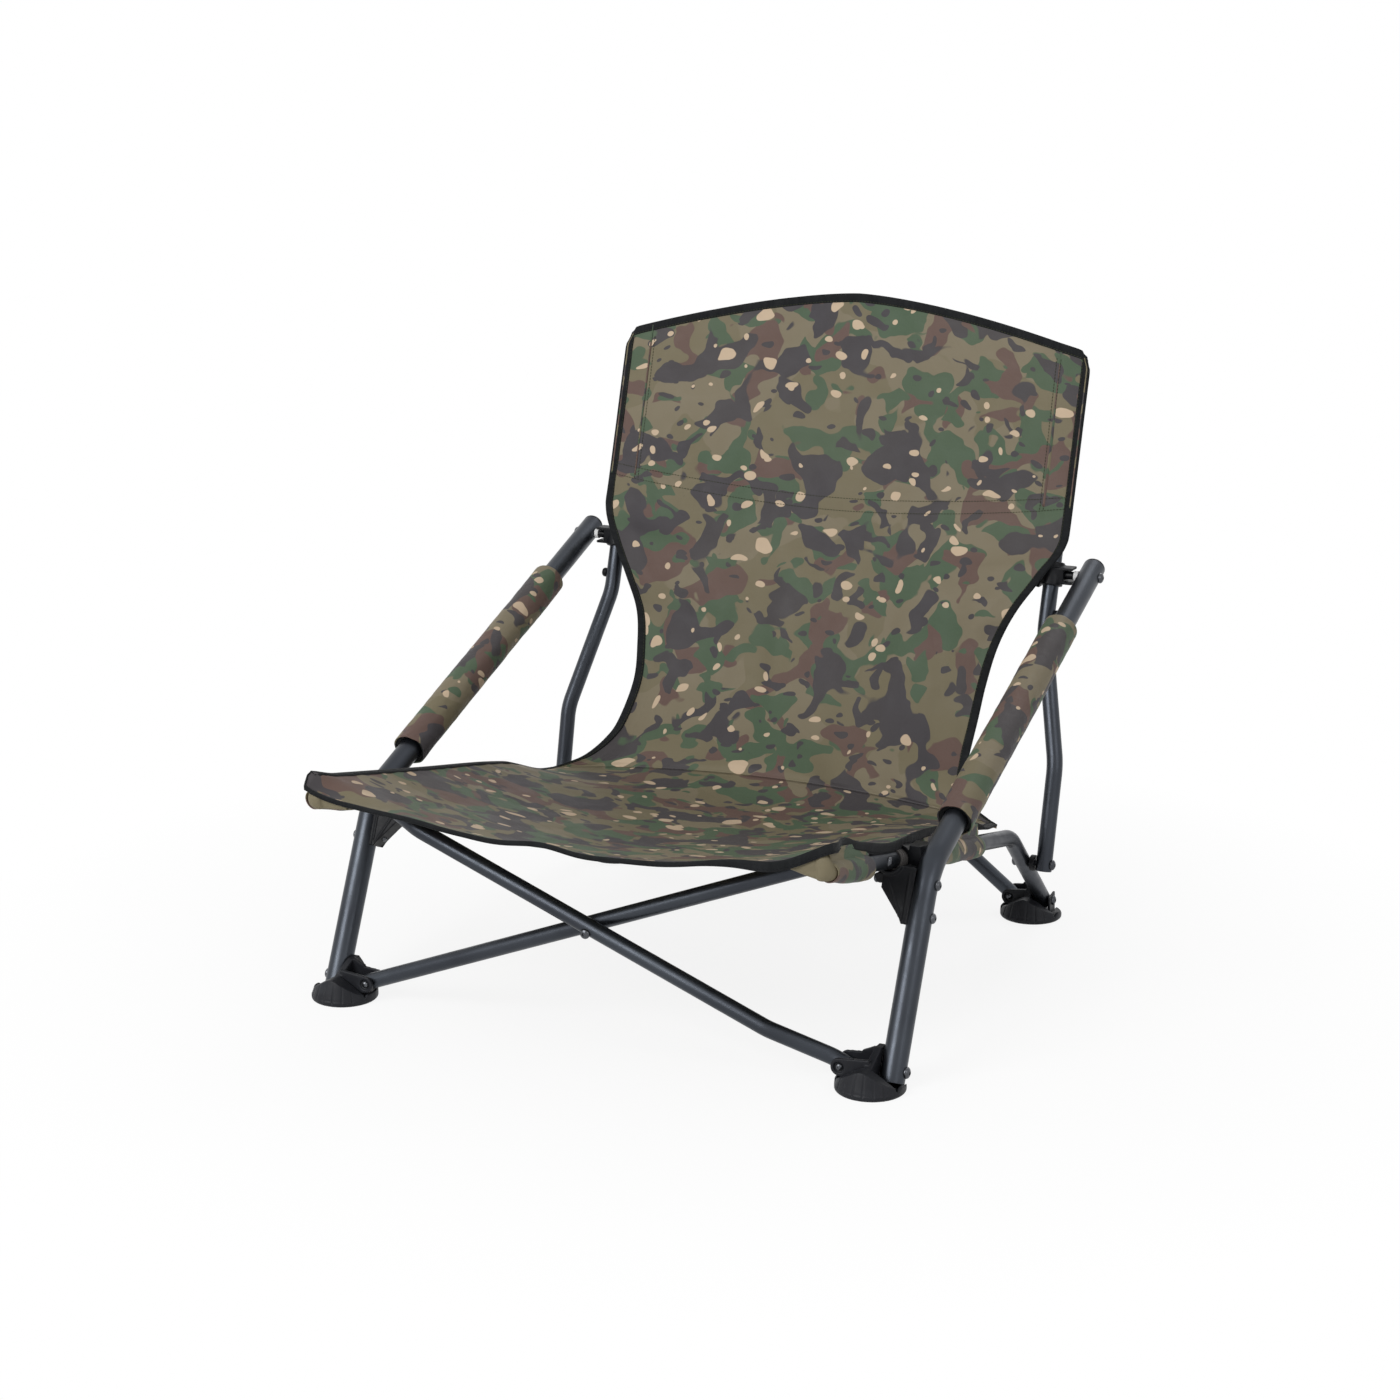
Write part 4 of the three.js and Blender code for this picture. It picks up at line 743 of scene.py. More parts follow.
    return moulded(name, [base, hump, wall, web, rim, ears],
                   [slot_room, grooves, pin_recess(cx + ear_x, cy + ear_y_local, ear_z)],
                   FOOT_PLASTIC_LIT_COPY, voxel=0.62, smooths=4, thin=0.4)


# The cradle round the rail reaches before and behind the leg, and is cut open above
SADDLE_RADIUS, CRADLE_WALL = 11, 3.6
CRADLE_FRONT, CRADLE_BACK, CRADLE_CUT = 14, 36, 5
GUSSET_HALF_DEPTH, GUSSET_TIP, GUSSET_IN_LEG, GUSSET_WIRE = 9.5, 10, 5.6, 1.1
KNOB_RADIUS, KNOB_LENGTH, ABOVE_RAIL = 5.6, 16, 45


def saddle_bracket():
    """Gusset beside the front leg with a raised rim, under a half-round cradle for the rail."""
    crossing = mm(RAIL_X, LEG_TOP_Y, rail_z(LEG_TOP_Y))
    outer = SADDLE_RADIUS + FIT_GAP + CRADLE_WALL
    front = crossing - RAIL_WAY * (CRADLE_FRONT * MM)
    back = crossing + RAIL_WAY * (CRADLE_BACK * MM)
    inner_face = ARM_X - ARM_RADIUS
    tip_z = SADDLE_LOWER_Z - GUSSET_TIP * LEG_WAY.z
    tip_y = leg_y(SADDLE_LOWER_Z) - GUSSET_TIP * LEG_WAY.y
    normal = Vector((0, -LEG_WAY.z, LEG_WAY.y))
    top = crossing / MM

    def gusset(bm):
        """Tapering wedge between the leg and the cradle."""
        rows = []
        low_inner, high_inner, step_z = inner_face - 2, RAIL_X - 6, SADDLE_UPPER_Z - 9
        for y, z, reach in ((top.y, top.z - 2, high_inner), (leg_y(step_z), step_z, high_inner),
                            (tip_y, tip_z, low_inner)):
            in_leg = inner_face + GUSSET_IN_LEG
            rows.append([bm.verts.new(mm(x, y, z) + normal * (sign * GUSSET_HALF_DEPTH * MM))
                         for x, sign in ((reach, -1), (in_leg, -1), (in_leg, 1), (reach, 1))])
        capped(bm, rows)

    def rim(bm):
        """Thin raised edges of the gusset's faces."""
        top_y, top_z = leg_y(SADDLE_UPPER_Z + 8), SADDLE_UPPER_Z + 8
        for sign in (-1, 1):
            edge = normal * (sign * GUSSET_HALF_DEPTH * MM)
            for top_x, low_x in ((RAIL_X - 5.5, inner_face - 2.5), (inner_face - 1.6, inner_face - 1.6)):
                bar(bm, mm(top_x, top_y, top_z) + edge, mm(low_x, tip_y, tip_z) + edge, GUSSET_WIRE, 16)

    def pipe(bm):
        bar(bm, front, back, outer, 64)

    def tongue(bm):
        """Upright edge of the bracket between the rail and the leg."""
        block(bm, mm(RAIL_X + SADDLE_RADIUS + 1, top.y + 10, top.z - 18),
              mm(inner_face + 5, top.y + 30, top.z + 13))

    def knob(bm):
        """Rounded end of the flange under the cradle."""
        spot = front + mm(4.5 - outer, 3, -20.5)
        bar(bm, spot, spot + REARWARD * KNOB_LENGTH * MM, KNOB_RADIUS, 40)

    def bore(bm):
        bar(bm, front - RAIL_WAY * 5 * MM, back + RAIL_WAY * 5 * MM, SADDLE_RADIUS + FIT_GAP, 64)

    def overhang(bm, low_y, high_y, high_x):
        """Room above the cradle between two places along the rail."""
        plate(bm, [
            (low_y, rail_z(low_y) - CRADLE_CUT), (high_y, rail_z(high_y) - CRADLE_CUT),
            (high_y, rail_z(high_y) + ABOVE_RAIL), (low_y, rail_z(low_y) + ABOVE_RAIL),
        ], "X", RAIL_X - outer - 5, high_x)

    def front_overhang(bm):
        overhang(bm, front.y / MM - 10, LEG_TOP_Y + 10, inner_face + 20)

    def back_overhang(bm):
        overhang(bm, LEG_TOP_Y + 8, back.y / MM + 10, RAIL_X + SADDLE_RADIUS)

    def leg_room(bm):
        bar(bm, mm(ARM_X, LEG_PIVOT_Y, LEG_PIVOT_Z), mm(ARM_X, LEG_TOP_Y, LEG_TOP_Z) + LEG_WAY * 30 * MM,
            ARM_RADIUS + FIT_GAP, 64)

    def arm_room(bm):
        bar(bm, mm(ARM_X, LEG_TOP_Y - 4, LEG_TOP_Z - 18), mm(ARM_X, LEG_TOP_Y + 30, arm_z(LEG_TOP_Y + 30)),
            ARM_RADIUS + FIT_GAP, 64)

    return moulded("right_saddle_bracket_moulded", [gusset, rim, pipe, tongue, knob],
                   [bore, front_overhang, back_overhang, leg_room, arm_room], voxel=0.6, smooths=4)


CORNER_STUD_Y, CORNER_PLATE, CORNER_EAR, CHEEK = -276, 1.6, 8, 9
SLEEVE_RADIUS, STUD_RADIUS, YOKE_PLATE, SMALL_RECESS = 11, 3, 3.4, (4.6, 0.8)
# The slide collar: its reach towards the arm, its ring, and half the depth of its block
COLLAR_REACH, COLLAR_RADIUS, COLLAR_HEIGHT, COLLAR_BLOCK = 26, 13, 27, 9.5
BARREL_RADIUS, BOSS_RADIUS = 4.6, 8


def corner_joint():
    """Plate beside the rail with two ears for the front cross tube, turning on a stud."""
    plate_out = RAIL_X - SLEEVE_RADIUS - FIT_GAP
    plate_in = plate_out - CORNER_PLATE
    stud_z = rail_z(CORNER_STUD_Y)
    front = FRONT_CROSS_Y - EAR_FAR + EAR_GAP - 0.4

    def cheek(bm):
        back = CORNER_STUD_Y + CHEEK
        plate(bm, [(front, FRONT_TOP_Z - CHEEK), (back, stud_z - CHEEK), (back, stud_z + CHEEK),
                   (front, FRONT_TOP_Z + CHEEK)], "X", plate_in, plate_out)

    def stud(bm):
        start = mm(plate_in + CORNER_PLATE / 2, CORNER_STUD_Y, stud_z)
        bar(bm, start, mm(RAIL_X - 3, CORNER_STUD_Y, stud_z), STUD_RADIUS)

    ears = ear_pair(FRONT_TOP_X, FRONT_CROSS_Y, FRONT_TOP_Z, plate_in + CORNER_PLATE / 2, CORNER_EAR,
                    FRONT_TOP_Z - CORNER_EAR, FRONT_TOP_Z + CORNER_EAR)
    return moulded("right_corner_joint_moulded", [cheek, stud, ears],
                   [pin_recess(FRONT_TOP_X, FRONT_CROSS_Y, FRONT_TOP_Z, *SMALL_RECESS)], voxel=0.5)


def slide_collar():
    """Clamp round the upright with a hollow block that reaches to the arm."""
    centre = mm(UPRIGHT_TOP_X, upright_y(SLIDE_Z), SLIDE_Z)
    low_rim = centre - UPRIGHT_WAY * (COLLAR_HEIGHT / 2) * MM
    y, z = upright_y(SLIDE_Z), SLIDE_Z
    block_out = UPRIGHT_TOP_X + COLLAR_REACH

    def ring(bm):
        wide, slim, high = COLLAR_RADIUS, COLLAR_RADIUS - 0.8, COLLAR_HEIGHT
        turned(bm, [(0, 0), (slim, 0), (wide, 0.8), (slim, high - 6), (wide, high - 5), (wide, high - 0.8),
                    (slim, high), (0, high)], low_rim, UPRIGHT_WAY, 64)

    def arm_block(bm):
        block(bm, mm(UPRIGHT_TOP_X, y - COLLAR_BLOCK, z - COLLAR_BLOCK),
              mm(block_out, y + COLLAR_BLOCK, z + COLLAR_BLOCK))

    def pocket(bm):
        deep, high = COLLAR_BLOCK + 5, COLLAR_BLOCK - 3
        block(bm, mm(UPRIGHT_TOP_X + 16, y - deep, z - high), mm(block_out + 5, y + deep, z + high))

    def barrel(bm):
        bar(bm, mm(UPRIGHT_TOP_X + COLLAR_RADIUS, y, z), mm(block_out, y, z), BARREL_RADIUS)

    def boss(bm):
        bar(bm, mm(UPRIGHT_TOP_X - COLLAR_RADIUS, *REAR_TOP[1:]), mm(UPRIGHT_TOP_X, *REAR_TOP[1:]),
            BOSS_RADIUS)

    def tube_room(bm):
        bar(bm, centre - UPRIGHT_WAY * 60 * MM, centre + UPRIGHT_WAY * 60 * MM, RAIL_RADIUS + 0.4, 64)

    shell = moulded("right_slide_collar_shell", [ring, arm_block, boss], [pocket, tube_room], voxel=0.6)
    core = bmesh.new()
    core.from_mesh(shell.data)
    barrel(core)
    bpy.data.objects.remove(shell)
    return finished("right_slide_collar_moulded", core, BLACK_PLASTIC_SHADE_DARKENED, 45)


def rear_yoke():
    """Plate that bears on the collar's boss, with two ears for a rear cross tube."""
    x, y, z = REAR_TOP
    plate_out = UPRIGHT_TOP_X - COLLAR_RADIUS - FIT_GAP
    plate_in = plate_out - YOKE_PLATE

    def cheek(bm):
        block(bm, mm(plate_in, y - EAR_FAR, z - CHEEK), mm(plate_out, y + EAR_FAR, z + CHEEK))

    ears = ear_pair(x, y, z, plate_in + YOKE_PLATE / 2, CORNER_EAR, z - CORNER_EAR, z + CORNER_EAR)
    return moulded("right_rear_yoke_moulded", [cheek, ears], [pin_recess(x, y, z, *SMALL_RECESS)], voxel=0.6)


# Each foot's centre on the floor, and from there its leg's pin and its cross tube's pin, with heights
FEET = {
    "front": {"centre": (300, -301), "leg": (18, 24, LEG_PIVOT_Z), "leg_radius": ARM_RADIUS,
              "ear": (-30, 5, FRONT_CLEVIS_Z), "flange": False},
    "rear": {"centre": (269, 269), "leg": (13, 4, REAR_PIVOT_Z), "leg_radius": RAIL_RADIUS,
             "ear": (-26, 10, REAR_CLEVIS[2]), "flange": True},
}
for end, foot_sizes in FEET.items():
    both_hands(foot(f"right_{end}_foot_moulded", **foot_sizes), f"{end}_base", "black_plastic", f"{end}_foot")
both_hands(saddle_bracket(), "arm", "black_plastic", "saddle_bracket")
both_hands(corner_joint(), "corner", "black_plastic", "corner_joint")
both_hands(slide_collar(), "slider", "black_plastic", "slide_collar")
both_hands(rear_yoke(), "yoke", "black_plastic", "rear_yoke")

STOP_KNOB_Z, RIBBED_LENGTH, RIBS, RIBBED_SHIFT = 355, 24, 9, 6


def small_turned_parts():
    """Arm end plug, stop knob, rail collar and pivot spacer."""
    ribbed = [(9.3, 0), (10.6, 0)]
    pitch = RIBBED_LENGTH / RIBS
    for k in range(RIBS):
        low, crest = pitch * k, 10.2 if k % 2 else 11.0
        ribbed += [(crest - 0.2, low + 0.15), (crest, low + 0.5), (crest, low + pitch - 0.5),
                   (crest - 0.2, low + pitch - 0.15)]
    ribbed += [(10.6, RIBBED_LENGTH), (9.3, RIBBED_LENGTH), (9.3, 0)]
    saddle = mm(RAIL_X, LEG_TOP_Y, rail_z(LEG_TOP_Y))
    parts = (
        ("arm_end_plug", "arm", "black_plastic", "arm_end_cap", BLACK_PLASTIC_SHADE_DARKENED, 35,
         [(0, -15), (11, -15), (11, 0.2), (12.2, 0.2), (12.5, 0.6), (12.3, 2), (11.2, 3.6), (9, 4.9),
          (6, 5.7), (3, 6.1), (0, 6.2)],
         mm(ARM_X, ARM_END_Y, ARM_END_Z), ARM_WAY, 48),
        ("stop_knob_round", "upright", "black_plastic", "stop_knob", BLACK_PLASTIC_SHADE_DARKENED, 35,
         [(0, -1), (4.6, -1), (5.2, 0.4), (5.5, 1.6), (5.4, 3.3), (4.6, 4.7), (3.2, 5.4), (0, 5.5)],
         mm(UPRIGHT_TOP_X + RAIL_RADIUS + FIT_GAP, upright_y(STOP_KNOB_Z), STOP_KNOB_Z), ACROSS, 32),
        ("rail_collar_ribbed", "rail", "grey_plastic", "rail_collar", GREY_PLASTIC, 30,
         ribbed, saddle + RAIL_WAY * (RIBBED_SHIFT - RIBBED_LENGTH / 2) * MM, RAIL_WAY, 56),
        ("pivot_spacer_round", "rail", "black_plastic", "pivot_spacer", BLACK_PLASTIC_SHADE_DARKENED, 35,
         [(3.3, 0.3), (8.4, 0.3), (9, 0.9), (9, 5.5), (8.4, 6.1), (3.3, 6.1), (3.3, 0.3)],
         mm(RAIL_X + RAIL_RADIUS, *UPRIGHT_PIVOT[1:]), ACROSS, 40),
    )
    for word, body, slot, node, material, crease, profile, start, way, sides in parts:
        bm = bmesh.new()
        turned(bm, profile, start, way, sides)
        both_hands(finished(f"right_{word}", bm, material, crease), body, slot, node)


small_turned_parts()


# Rivets, pins and bolts
def open_tree(name, sizes):
    """A Geometry Nodes tree, its inputs with named sizes and a finish, and a way to add nodes."""
    tree = bpy.data.node_groups.new(name, "GeometryNodeTree")
    sockets = [("Geometry", "INPUT", "Geometry"), *[(size, "INPUT", "Float") for size in sizes],
               ("Finish", "INPUT", "Material"), ("Geometry", "OUTPUT", "Geometry")]
    for word, way, kind in sockets:
        made = tree.interface.new_socket(word, in_out=way, socket_type="NodeSocket" + kind)
        if word in sizes:
            made.default_value = sizes[word]

    def add(kind, inputs=None, **settings):
        return add_node(tree, kind, inputs, **settings).outputs[0]
    return tree, tree.nodes.new("NodeGroupInput").outputs, add


def close_tree(tree, given, add, geometry):
    """Ends a tree with real geometry in its finish."""
    real = add("GeometryNodeRealizeInstances", {"Geometry": geometry})
    painted = add("GeometryNodeSetMaterial", {"Geometry": real, "Material": given["Finish"]})
    add_node(tree, "NodeGroupOutput", {0: painted})
    return tree


def run_tree(piece, tree, values):
    """Runs a node tree over a piece with its inputs set by name, and keeps only the result."""
    modifier = piece.modifiers.new(tree.name, "NODES")
    modifier.node_group = tree
    for item in tree.interface.items_tree:
        if item.in_out == "INPUT" and item.name in values:
            modifier[item.identifier] = values[item.name]
    piece.update_tag()
    return evaluated(piece)


def fastener_tree():
    """Each loose edge is a shank, and each of its ends gets a domed head with a hexagon socket.
    The heads face outwards along the edge's own 'way' and have its 'head' radius."""
    tree, given, add = open_tree(
        "fasteners", {"Shank Radius": 0.003, "Dome Share": 0.62, "Socket Share": 0.36})
    line = add("GeometryNodeMeshToCurve", {"Mesh": given["Geometry"]})
    ring = add("GeometryNodeCurvePrimitiveCircle", {"Resolution": 20, "Radius": given["Shank Radius"]})
    shank = add("GeometryNodeCurveToMesh", {"Curve": line, "Profile Curve": ring, "Fill Caps": True})
    dome = add("GeometryNodeMeshUVSphere", {"Segments": 28, "Rings": 14, "Radius": 1.0})
    tall = add("ShaderNodeCombineXYZ", {"X": 1.0, "Y": 1.0, "Z": given["Dome Share"]})
    low_dome = add("GeometryNodeTransform", {"Geometry": dome, "Scale": tall})
    socket = add("GeometryNodeMeshCylinder", {"Vertices": 6, "Radius": given["Socket Share"], "Depth": 0.5})
    raised = add("ShaderNodeCombineXYZ", {"Z": given["Dome Share"]})
    sunk = add("GeometryNodeTransform", {"Geometry": socket, "Translation": raised})
    head = add("GeometryNodeMeshBoolean", {0: low_dome, 1: sunk}, operation="DIFFERENCE")
    way = add("GeometryNodeInputNamedAttribute", {"Name": "way"}, data_type="FLOAT_VECTOR")
    size = add("GeometryNodeInputNamedAttribute", {"Name": "head"}, data_type="FLOAT")
    turn = add("FunctionNodeAlignRotationToVector", {"Vector": way}, axis="Z")
    points = add("GeometryNodeMeshToPoints", {"Mesh": given["Geometry"]})
    heads = add("GeometryNodeInstanceOnPoints",
                {"Points": points, "Instance": head, "Rotation": turn, "Scale": size})
    both = add_node(tree, "GeometryNodeJoinGeometry", {0: shank})
    tree.links.new(heads, both.inputs[0])
    return close_tree(tree, given, add, both.outputs[0])


FASTENERS = fastener_tree()


def fasteners(name, pins, washers=()):
    """One piece of all the pins of a body. A pin is (start, end, start head, end head) in
    millimetres, and a washer is (start, end, radius)."""
    mesh = bpy.data.meshes.new(name)
    points, edges, ways, heads = [], [], [], []
    for start, end, start_head, end_head in pins:
        start, end = mm(*start), mm(*end)
        way = (end - start).normalized()
        edges.append((len(points), len(points) + 1))
        points += [start, end]
        ways += [-way, way]
        heads += [start_head * MM, end_head * MM]
    mesh.from_pydata(points, edges, [])
    mesh.attributes.new("way", "FLOAT_VECTOR", "POINT").data.foreach_set(
        "vector", [value for way in ways for value in way])
    mesh.attributes.new("head", "FLOAT", "POINT").data.foreach_set("value", heads)
    made = run_tree(linked(name, mesh), FASTENERS, {"Finish": DARK_STEEL})
    if washers:
        bm = bmesh.new()
        bm.from_mesh(made.data)
        for start, end, radius in washers:
            bar(bm, mm(*start), mm(*end), radius)
        bmesh.ops.recalc_face_normals(bm, faces=bm.faces)
        bm.to_mesh(made.data)
        bm.free()
    return shaded(made, 40)


def across_pin(low_x, high_x, y, z, low_head, high_head):
    """Pin across the chair, as fasteners takes it."""
    return (low_x, y, z), (high_x, y, z), low_head, high_head


def along_pin(x, y, z):
    """Pin through a pair of ears, with its heads sunk in them."""
    half, head = EAR_FAR - 1.6, 3.6
    return (x, y - half, z), (x, y + half, z), head, head


BOLT_PROUD, RAIL_RIVET_Y = 0.3, -238


def foot_wall_x(end):
    """Inner face of a foot's wall, where the leg rivet's inner head sits."""
    sizes = FEET[end]
    return sizes["centre"][0] + sizes["leg"][0] - sizes["leg_radius"] - FIT_GAP - FOOT_WALL


def side_fasteners():
    """Each side's pins and bolts, one piece for each body that they ride with."""
    cradle_inner = RAIL_X - SADDLE_RADIUS - FIT_GAP - CRADLE_WALL
    collar_out = UPRIGHT_TOP_X + COLLAR_REACH + FIT_GAP
    arm_out = ARM_X + ARM_RADIUS + BOLT_PROUD
    slide_y = upright_y(SLIDE_Z)
    sets = {
        "front_base": ("front_foot", ("front_foot_rivet", "front_foot_pin"), [
            across_pin(foot_wall_x("front") - BOLT_PROUD, arm_out, LEG_PIVOT_Y - LEG_FORWARD + 1,
                       LEG_PIVOT_Z - 2, 5.2, 6),
            along_pin(FRONT_CLEVIS_X, FRONT_CROSS_Y, FRONT_CLEVIS_Z),
        ], ()),
        "rear_base": ("rear_foot", ("rear_foot_rivet", "rear_foot_pin"), [
            across_pin(foot_wall_x("rear") - BOLT_PROUD, RAIL_X + RAIL_RADIUS + 2.9, REAR_PIVOT_Y,
                       REAR_PIVOT_Z, 5.2, 5.6),
            along_pin(*REAR_CLEVIS),
        ], ()),
        "arm": ("arm", ("saddle_bolt_upper", "saddle_bolt_lower", "arm_stud"), [
            across_pin(cradle_inner - BOLT_PROUD, arm_out, leg_y(SADDLE_UPPER_Z), SADDLE_UPPER_Z, 5, 5.4),
            across_pin(cradle_inner + 29, arm_out, leg_y(SADDLE_LOWER_Z), SADDLE_LOWER_Z, 4, 5.4),
            across_pin(collar_out + 2, arm_out, slide_y, SLIDE_Z, 3, 6),
        ], [((collar_out, slide_y, SLIDE_Z), (ARM_X - ARM_RADIUS, slide_y, SLIDE_Z), 5.6)]),
        "corner": ("corner", ("corner_pin",), [along_pin(FRONT_TOP_X, FRONT_CROSS_Y, FRONT_TOP_Z)], ()),
        "rail": ("pivot", ("pivot_bolt",), [
            across_pin(RAIL_X + 2, RAIL_X + RAIL_RADIUS + 0.1, RAIL_RIVET_Y, rail_z(RAIL_RIVET_Y) + 1,
                       1.5, 4.6),
            across_pin(RAIL_X - RAIL_RADIUS - BOLT_PROUD, UPRIGHT_PIVOT[0] + RAIL_RADIUS + BOLT_PROUD,
                       *UPRIGHT_PIVOT[1:], 5.6, 6),
        ], ()),
        "yoke": ("yoke", ("rear_yoke_pin",), [along_pin(*REAR_TOP)], ()),
    }
    for body, (word, nodes, pins, washers) in sets.items():
        both_hands(fasteners(f"right_{word}_fasteners", pins, washers), body, "dark_fasteners", *nodes)


def cross_fasteners():
    """The pins where the front tubes and the rear tubes cross."""
    front = fasteners("front_cross_fastener", [(
        (0, FRONT_CROSS_Y - FRONT_BOW - CROSS_RADIUS - 0.3, FRONT_PIN_Z),
        (0, FRONT_CROSS_Y + CROSS_RADIUS + 0.3, FRONT_PIN_Z), 5.4, 5.4,
    )])
    place(front, "front_cross_a", "dark_fasteners", "front_cross_pin")
    y, z = REAR_MIDDLE.y / MM, REAR_MIDDLE.z / MM
    for kind, body, way in (("back", "rear_cross_a", 1), ("front", "rear_cross_b", -1)):
        start = y + way * 0.15
        end = y + way * (REAR_SPREAD + CROSS_RADIUS + 0.6)
        made = fasteners(
            f"rear_cross_fastener_{kind}", [((0, start + way * 2, z), (0, end, z), 1.5, 5.4)],
            [((0, start, z), (0, start + way * 1.3, z), 5.6)],
        )
        place(made, body, "dark_fasteners", f"rear_cross_pin_{kind}")


side_fasteners()
cross_fasteners()


# Cloth surfaces
# The seat's front edge, and where it joins the back: (x, y, z) at the rail and (y, z) in the middle
SEAT_FRONT_Y, JOIN_EDGE, JOIN_MIDDLE = -377, (275, 121, 150), (140, 165)
SEAT_HALF, FIN_RISE, SEAT_SAG = 281.6, 25, 53
# Shares along the seat, from the front to the join: rise of its edge above the rail, sag and bow
SEAT_RISE = (
    (0, 1), (0.4, 1), (0.78, 1), (0.92, 0.58), (1, (JOIN_EDGE[2] - rail_z(JOIN_EDGE[1])) / FIN_RISE),
)
SEAT_SAG_SHARES = ((0, 0.94), (0.25, 1), (0.5, 0.97), (0.75, 0.72), (0.9, 0.3), (1, 0))
SEAT_BOW_SHARES = ((0, 0.37), (0.2, 0), (0.8, 0.1), (1, 1))
SEAT_PROFILE, SEAT_JOIN_POWER, CORNER_FLARE, CORNER_LIFT = 2.1, 6.5, 7.5, 3.5
# The back's half width, and its upper corner and the middle of its top edge as (y, z)
BACK_HALF, BACK_CORNER, BACK_PEAK = 291, (354, 640), (375, 692.5)
BACK_PROFILE, BACK_BLEND, POCKET_INNER_X, JOIN_GAP = 1.5, 0.6, 256, 0.6
# Shares up the back, from the join to the top: half width, the edge's y and z, the middle's y and z
BACK_ROWS = (
    (0.945, 0, 0, 0, 0), (0.9, 0.017, 0.01, 0.042, 0.013), (0.825, 0.06, 0.031, 0.106, 0.032),
    (0.77, 0.146, 0.065, 0.179, 0.057), (0.749, 0.249, 0.102, 0.255, 0.087),
    (0.742, 0.403, 0.184, 0.349, 0.136), (0.753, 0.476, 0.265, 0.447, 0.209),
    (0.78, 0.536, 0.347, 0.519, 0.265), (0.842, 0.566, 0.429, 0.587, 0.341),
    (0.928, 0.633, 0.51, 0.668, 0.43), (1, 0.731, 0.592, 0.736, 0.502),
    (1, 0.842, 0.755, 0.851, 0.692), (1, 0.921, 0.878, 0.919, 0.825), (1, 1, 1, 1, 1),
)
CLOTH_THICKNESS, THIN_CLOTH, CORNER_ROUND = 1.3, 0.9, 4.5
# The sewn seam across the back, and how far it hangs in the middle, in rows
BACK_SEAM_ROW, SEAM_DIP = 0.802, 0.018
# The seat's left front corner: pulled down, over this length inside and at the edge, and widened
LEFT_DIP, DIP_LENGTH, DIP_EDGE_LENGTH, LEFT_FLARE = 15.0, 36, 15, 3.5


def along(pairs, share):
    """Smooth value through (share, value) pairs."""
    last = len(pairs) - 1
    k = 0
    while k < last - 1 and share > pairs[k + 1][0]:
        k += 1
    (s0, v0), (s1, v1) = pairs[k], pairs[k + 1]
    t = clamp((share - s0) / (s1 - s0))

    def slope(i):
        a, b = pairs[max(i - 1, 0)], pairs[min(i + 1, last)]
        return (b[1] - a[1]) / (b[0] - a[0]) * (s1 - s0)
    m0, m1 = slope(k), slope(k + 1)
    return ((2 * t ** 3 - 3 * t ** 2 + 1) * v0 + (t ** 3 - 2 * t ** 2 + t) * m0
            + (3 * t ** 2 - 2 * t ** 3) * v1 + (t ** 3 - t ** 2) * m1)


BACK_COLUMNS = [[(k / (len(BACK_ROWS) - 1), row[c]) for k, row in enumerate(BACK_ROWS)] for c in range(5)]


def left_dip(behind, reach=0.9):
    """How far the seat's left front corner is pulled down, some millimetres behind its front."""
    length = lerp(DIP_LENGTH, DIP_EDGE_LENGTH, smoothstep(reach, 0.94, 1))
    return LEFT_DIP * (1 - smoothstep(behind, 0, length))


def seat_point(spread, row):
    """Place on the seat; spread runs from -1 at the left edge to 1, row from the front to the join."""
    bow = 1 - abs(spread) ** SEAT_PROFILE
    edge_y = lerp(SEAT_FRONT_Y, JOIN_EDGE[1], row)
    edge_z = rail_z(edge_y) + FIN_RISE * along(SEAT_RISE, row)
    flare = 1 - smoothstep(row, 0, 0.08)
    half = lerp(SEAT_HALF, JOIN_EDGE[0], smoothstep(row, 0.82, 1)) + CORNER_FLARE * flare
    if spread < 0:
        tip = (1 - smoothstep(row, 0, 0.02)) * (1 - smoothstep(spread, -1, -0.96))
        half += LEFT_FLARE * (1 - tip) * flare
    edge_z += CORNER_LIFT * flare
    drop = SEAT_SAG * along(SEAT_SAG_SHARES, row) - (JOIN_MIDDLE[1] - JOIN_EDGE[2]) * row ** SEAT_JOIN_POWER
    y = edge_y + bow * (JOIN_MIDDLE[0] - JOIN_EDGE[1]) * along(SEAT_BOW_SHARES, row)
    dip = left_dip(row * (JOIN_EDGE[1] - SEAT_FRONT_Y), abs(spread)) * (1 - smoothstep(spread, -0.97, -0.5))
    return mm(spread * half, y, edge_z - bow * drop - dip)


def back_point(spread, row):
    """Place on the back; row runs from the join to the top edge."""
    width, edge_y, edge_z, middle_y, middle_z = [along(column, row) for column in BACK_COLUMNS]
    width = min(width, 1)
    edge_y = lerp(JOIN_EDGE[1], BACK_CORNER[0], edge_y)
    edge_z = lerp(JOIN_EDGE[2], BACK_CORNER[1], edge_z)
    middle_y = lerp(JOIN_MIDDLE[0], BACK_PEAK[0], middle_y)
    middle_z = lerp(JOIN_MIDDLE[1], BACK_PEAK[1], middle_z)
    reach = abs(spread)
    flat = min(1, reach * BACK_HALF / POCKET_INNER_X) ** 2
    blend = min(1, row / BACK_BLEND)
    bow = reach ** SEAT_PROFILE
    corner = smoothstep(row, 0.975, 1) * smoothstep(reach, 0.96, 1)
    edge_z -= CORNER_ROUND * corner
    return mm(
        spread * (BACK_HALF * width - CORNER_ROUND * corner),
        lerp(middle_y, edge_y, lerp(bow, flat, blend)) + JOIN_GAP,
        lerp(middle_z, edge_z, lerp(bow, reach ** BACK_PROFILE, blend)) + JOIN_GAP,
    )


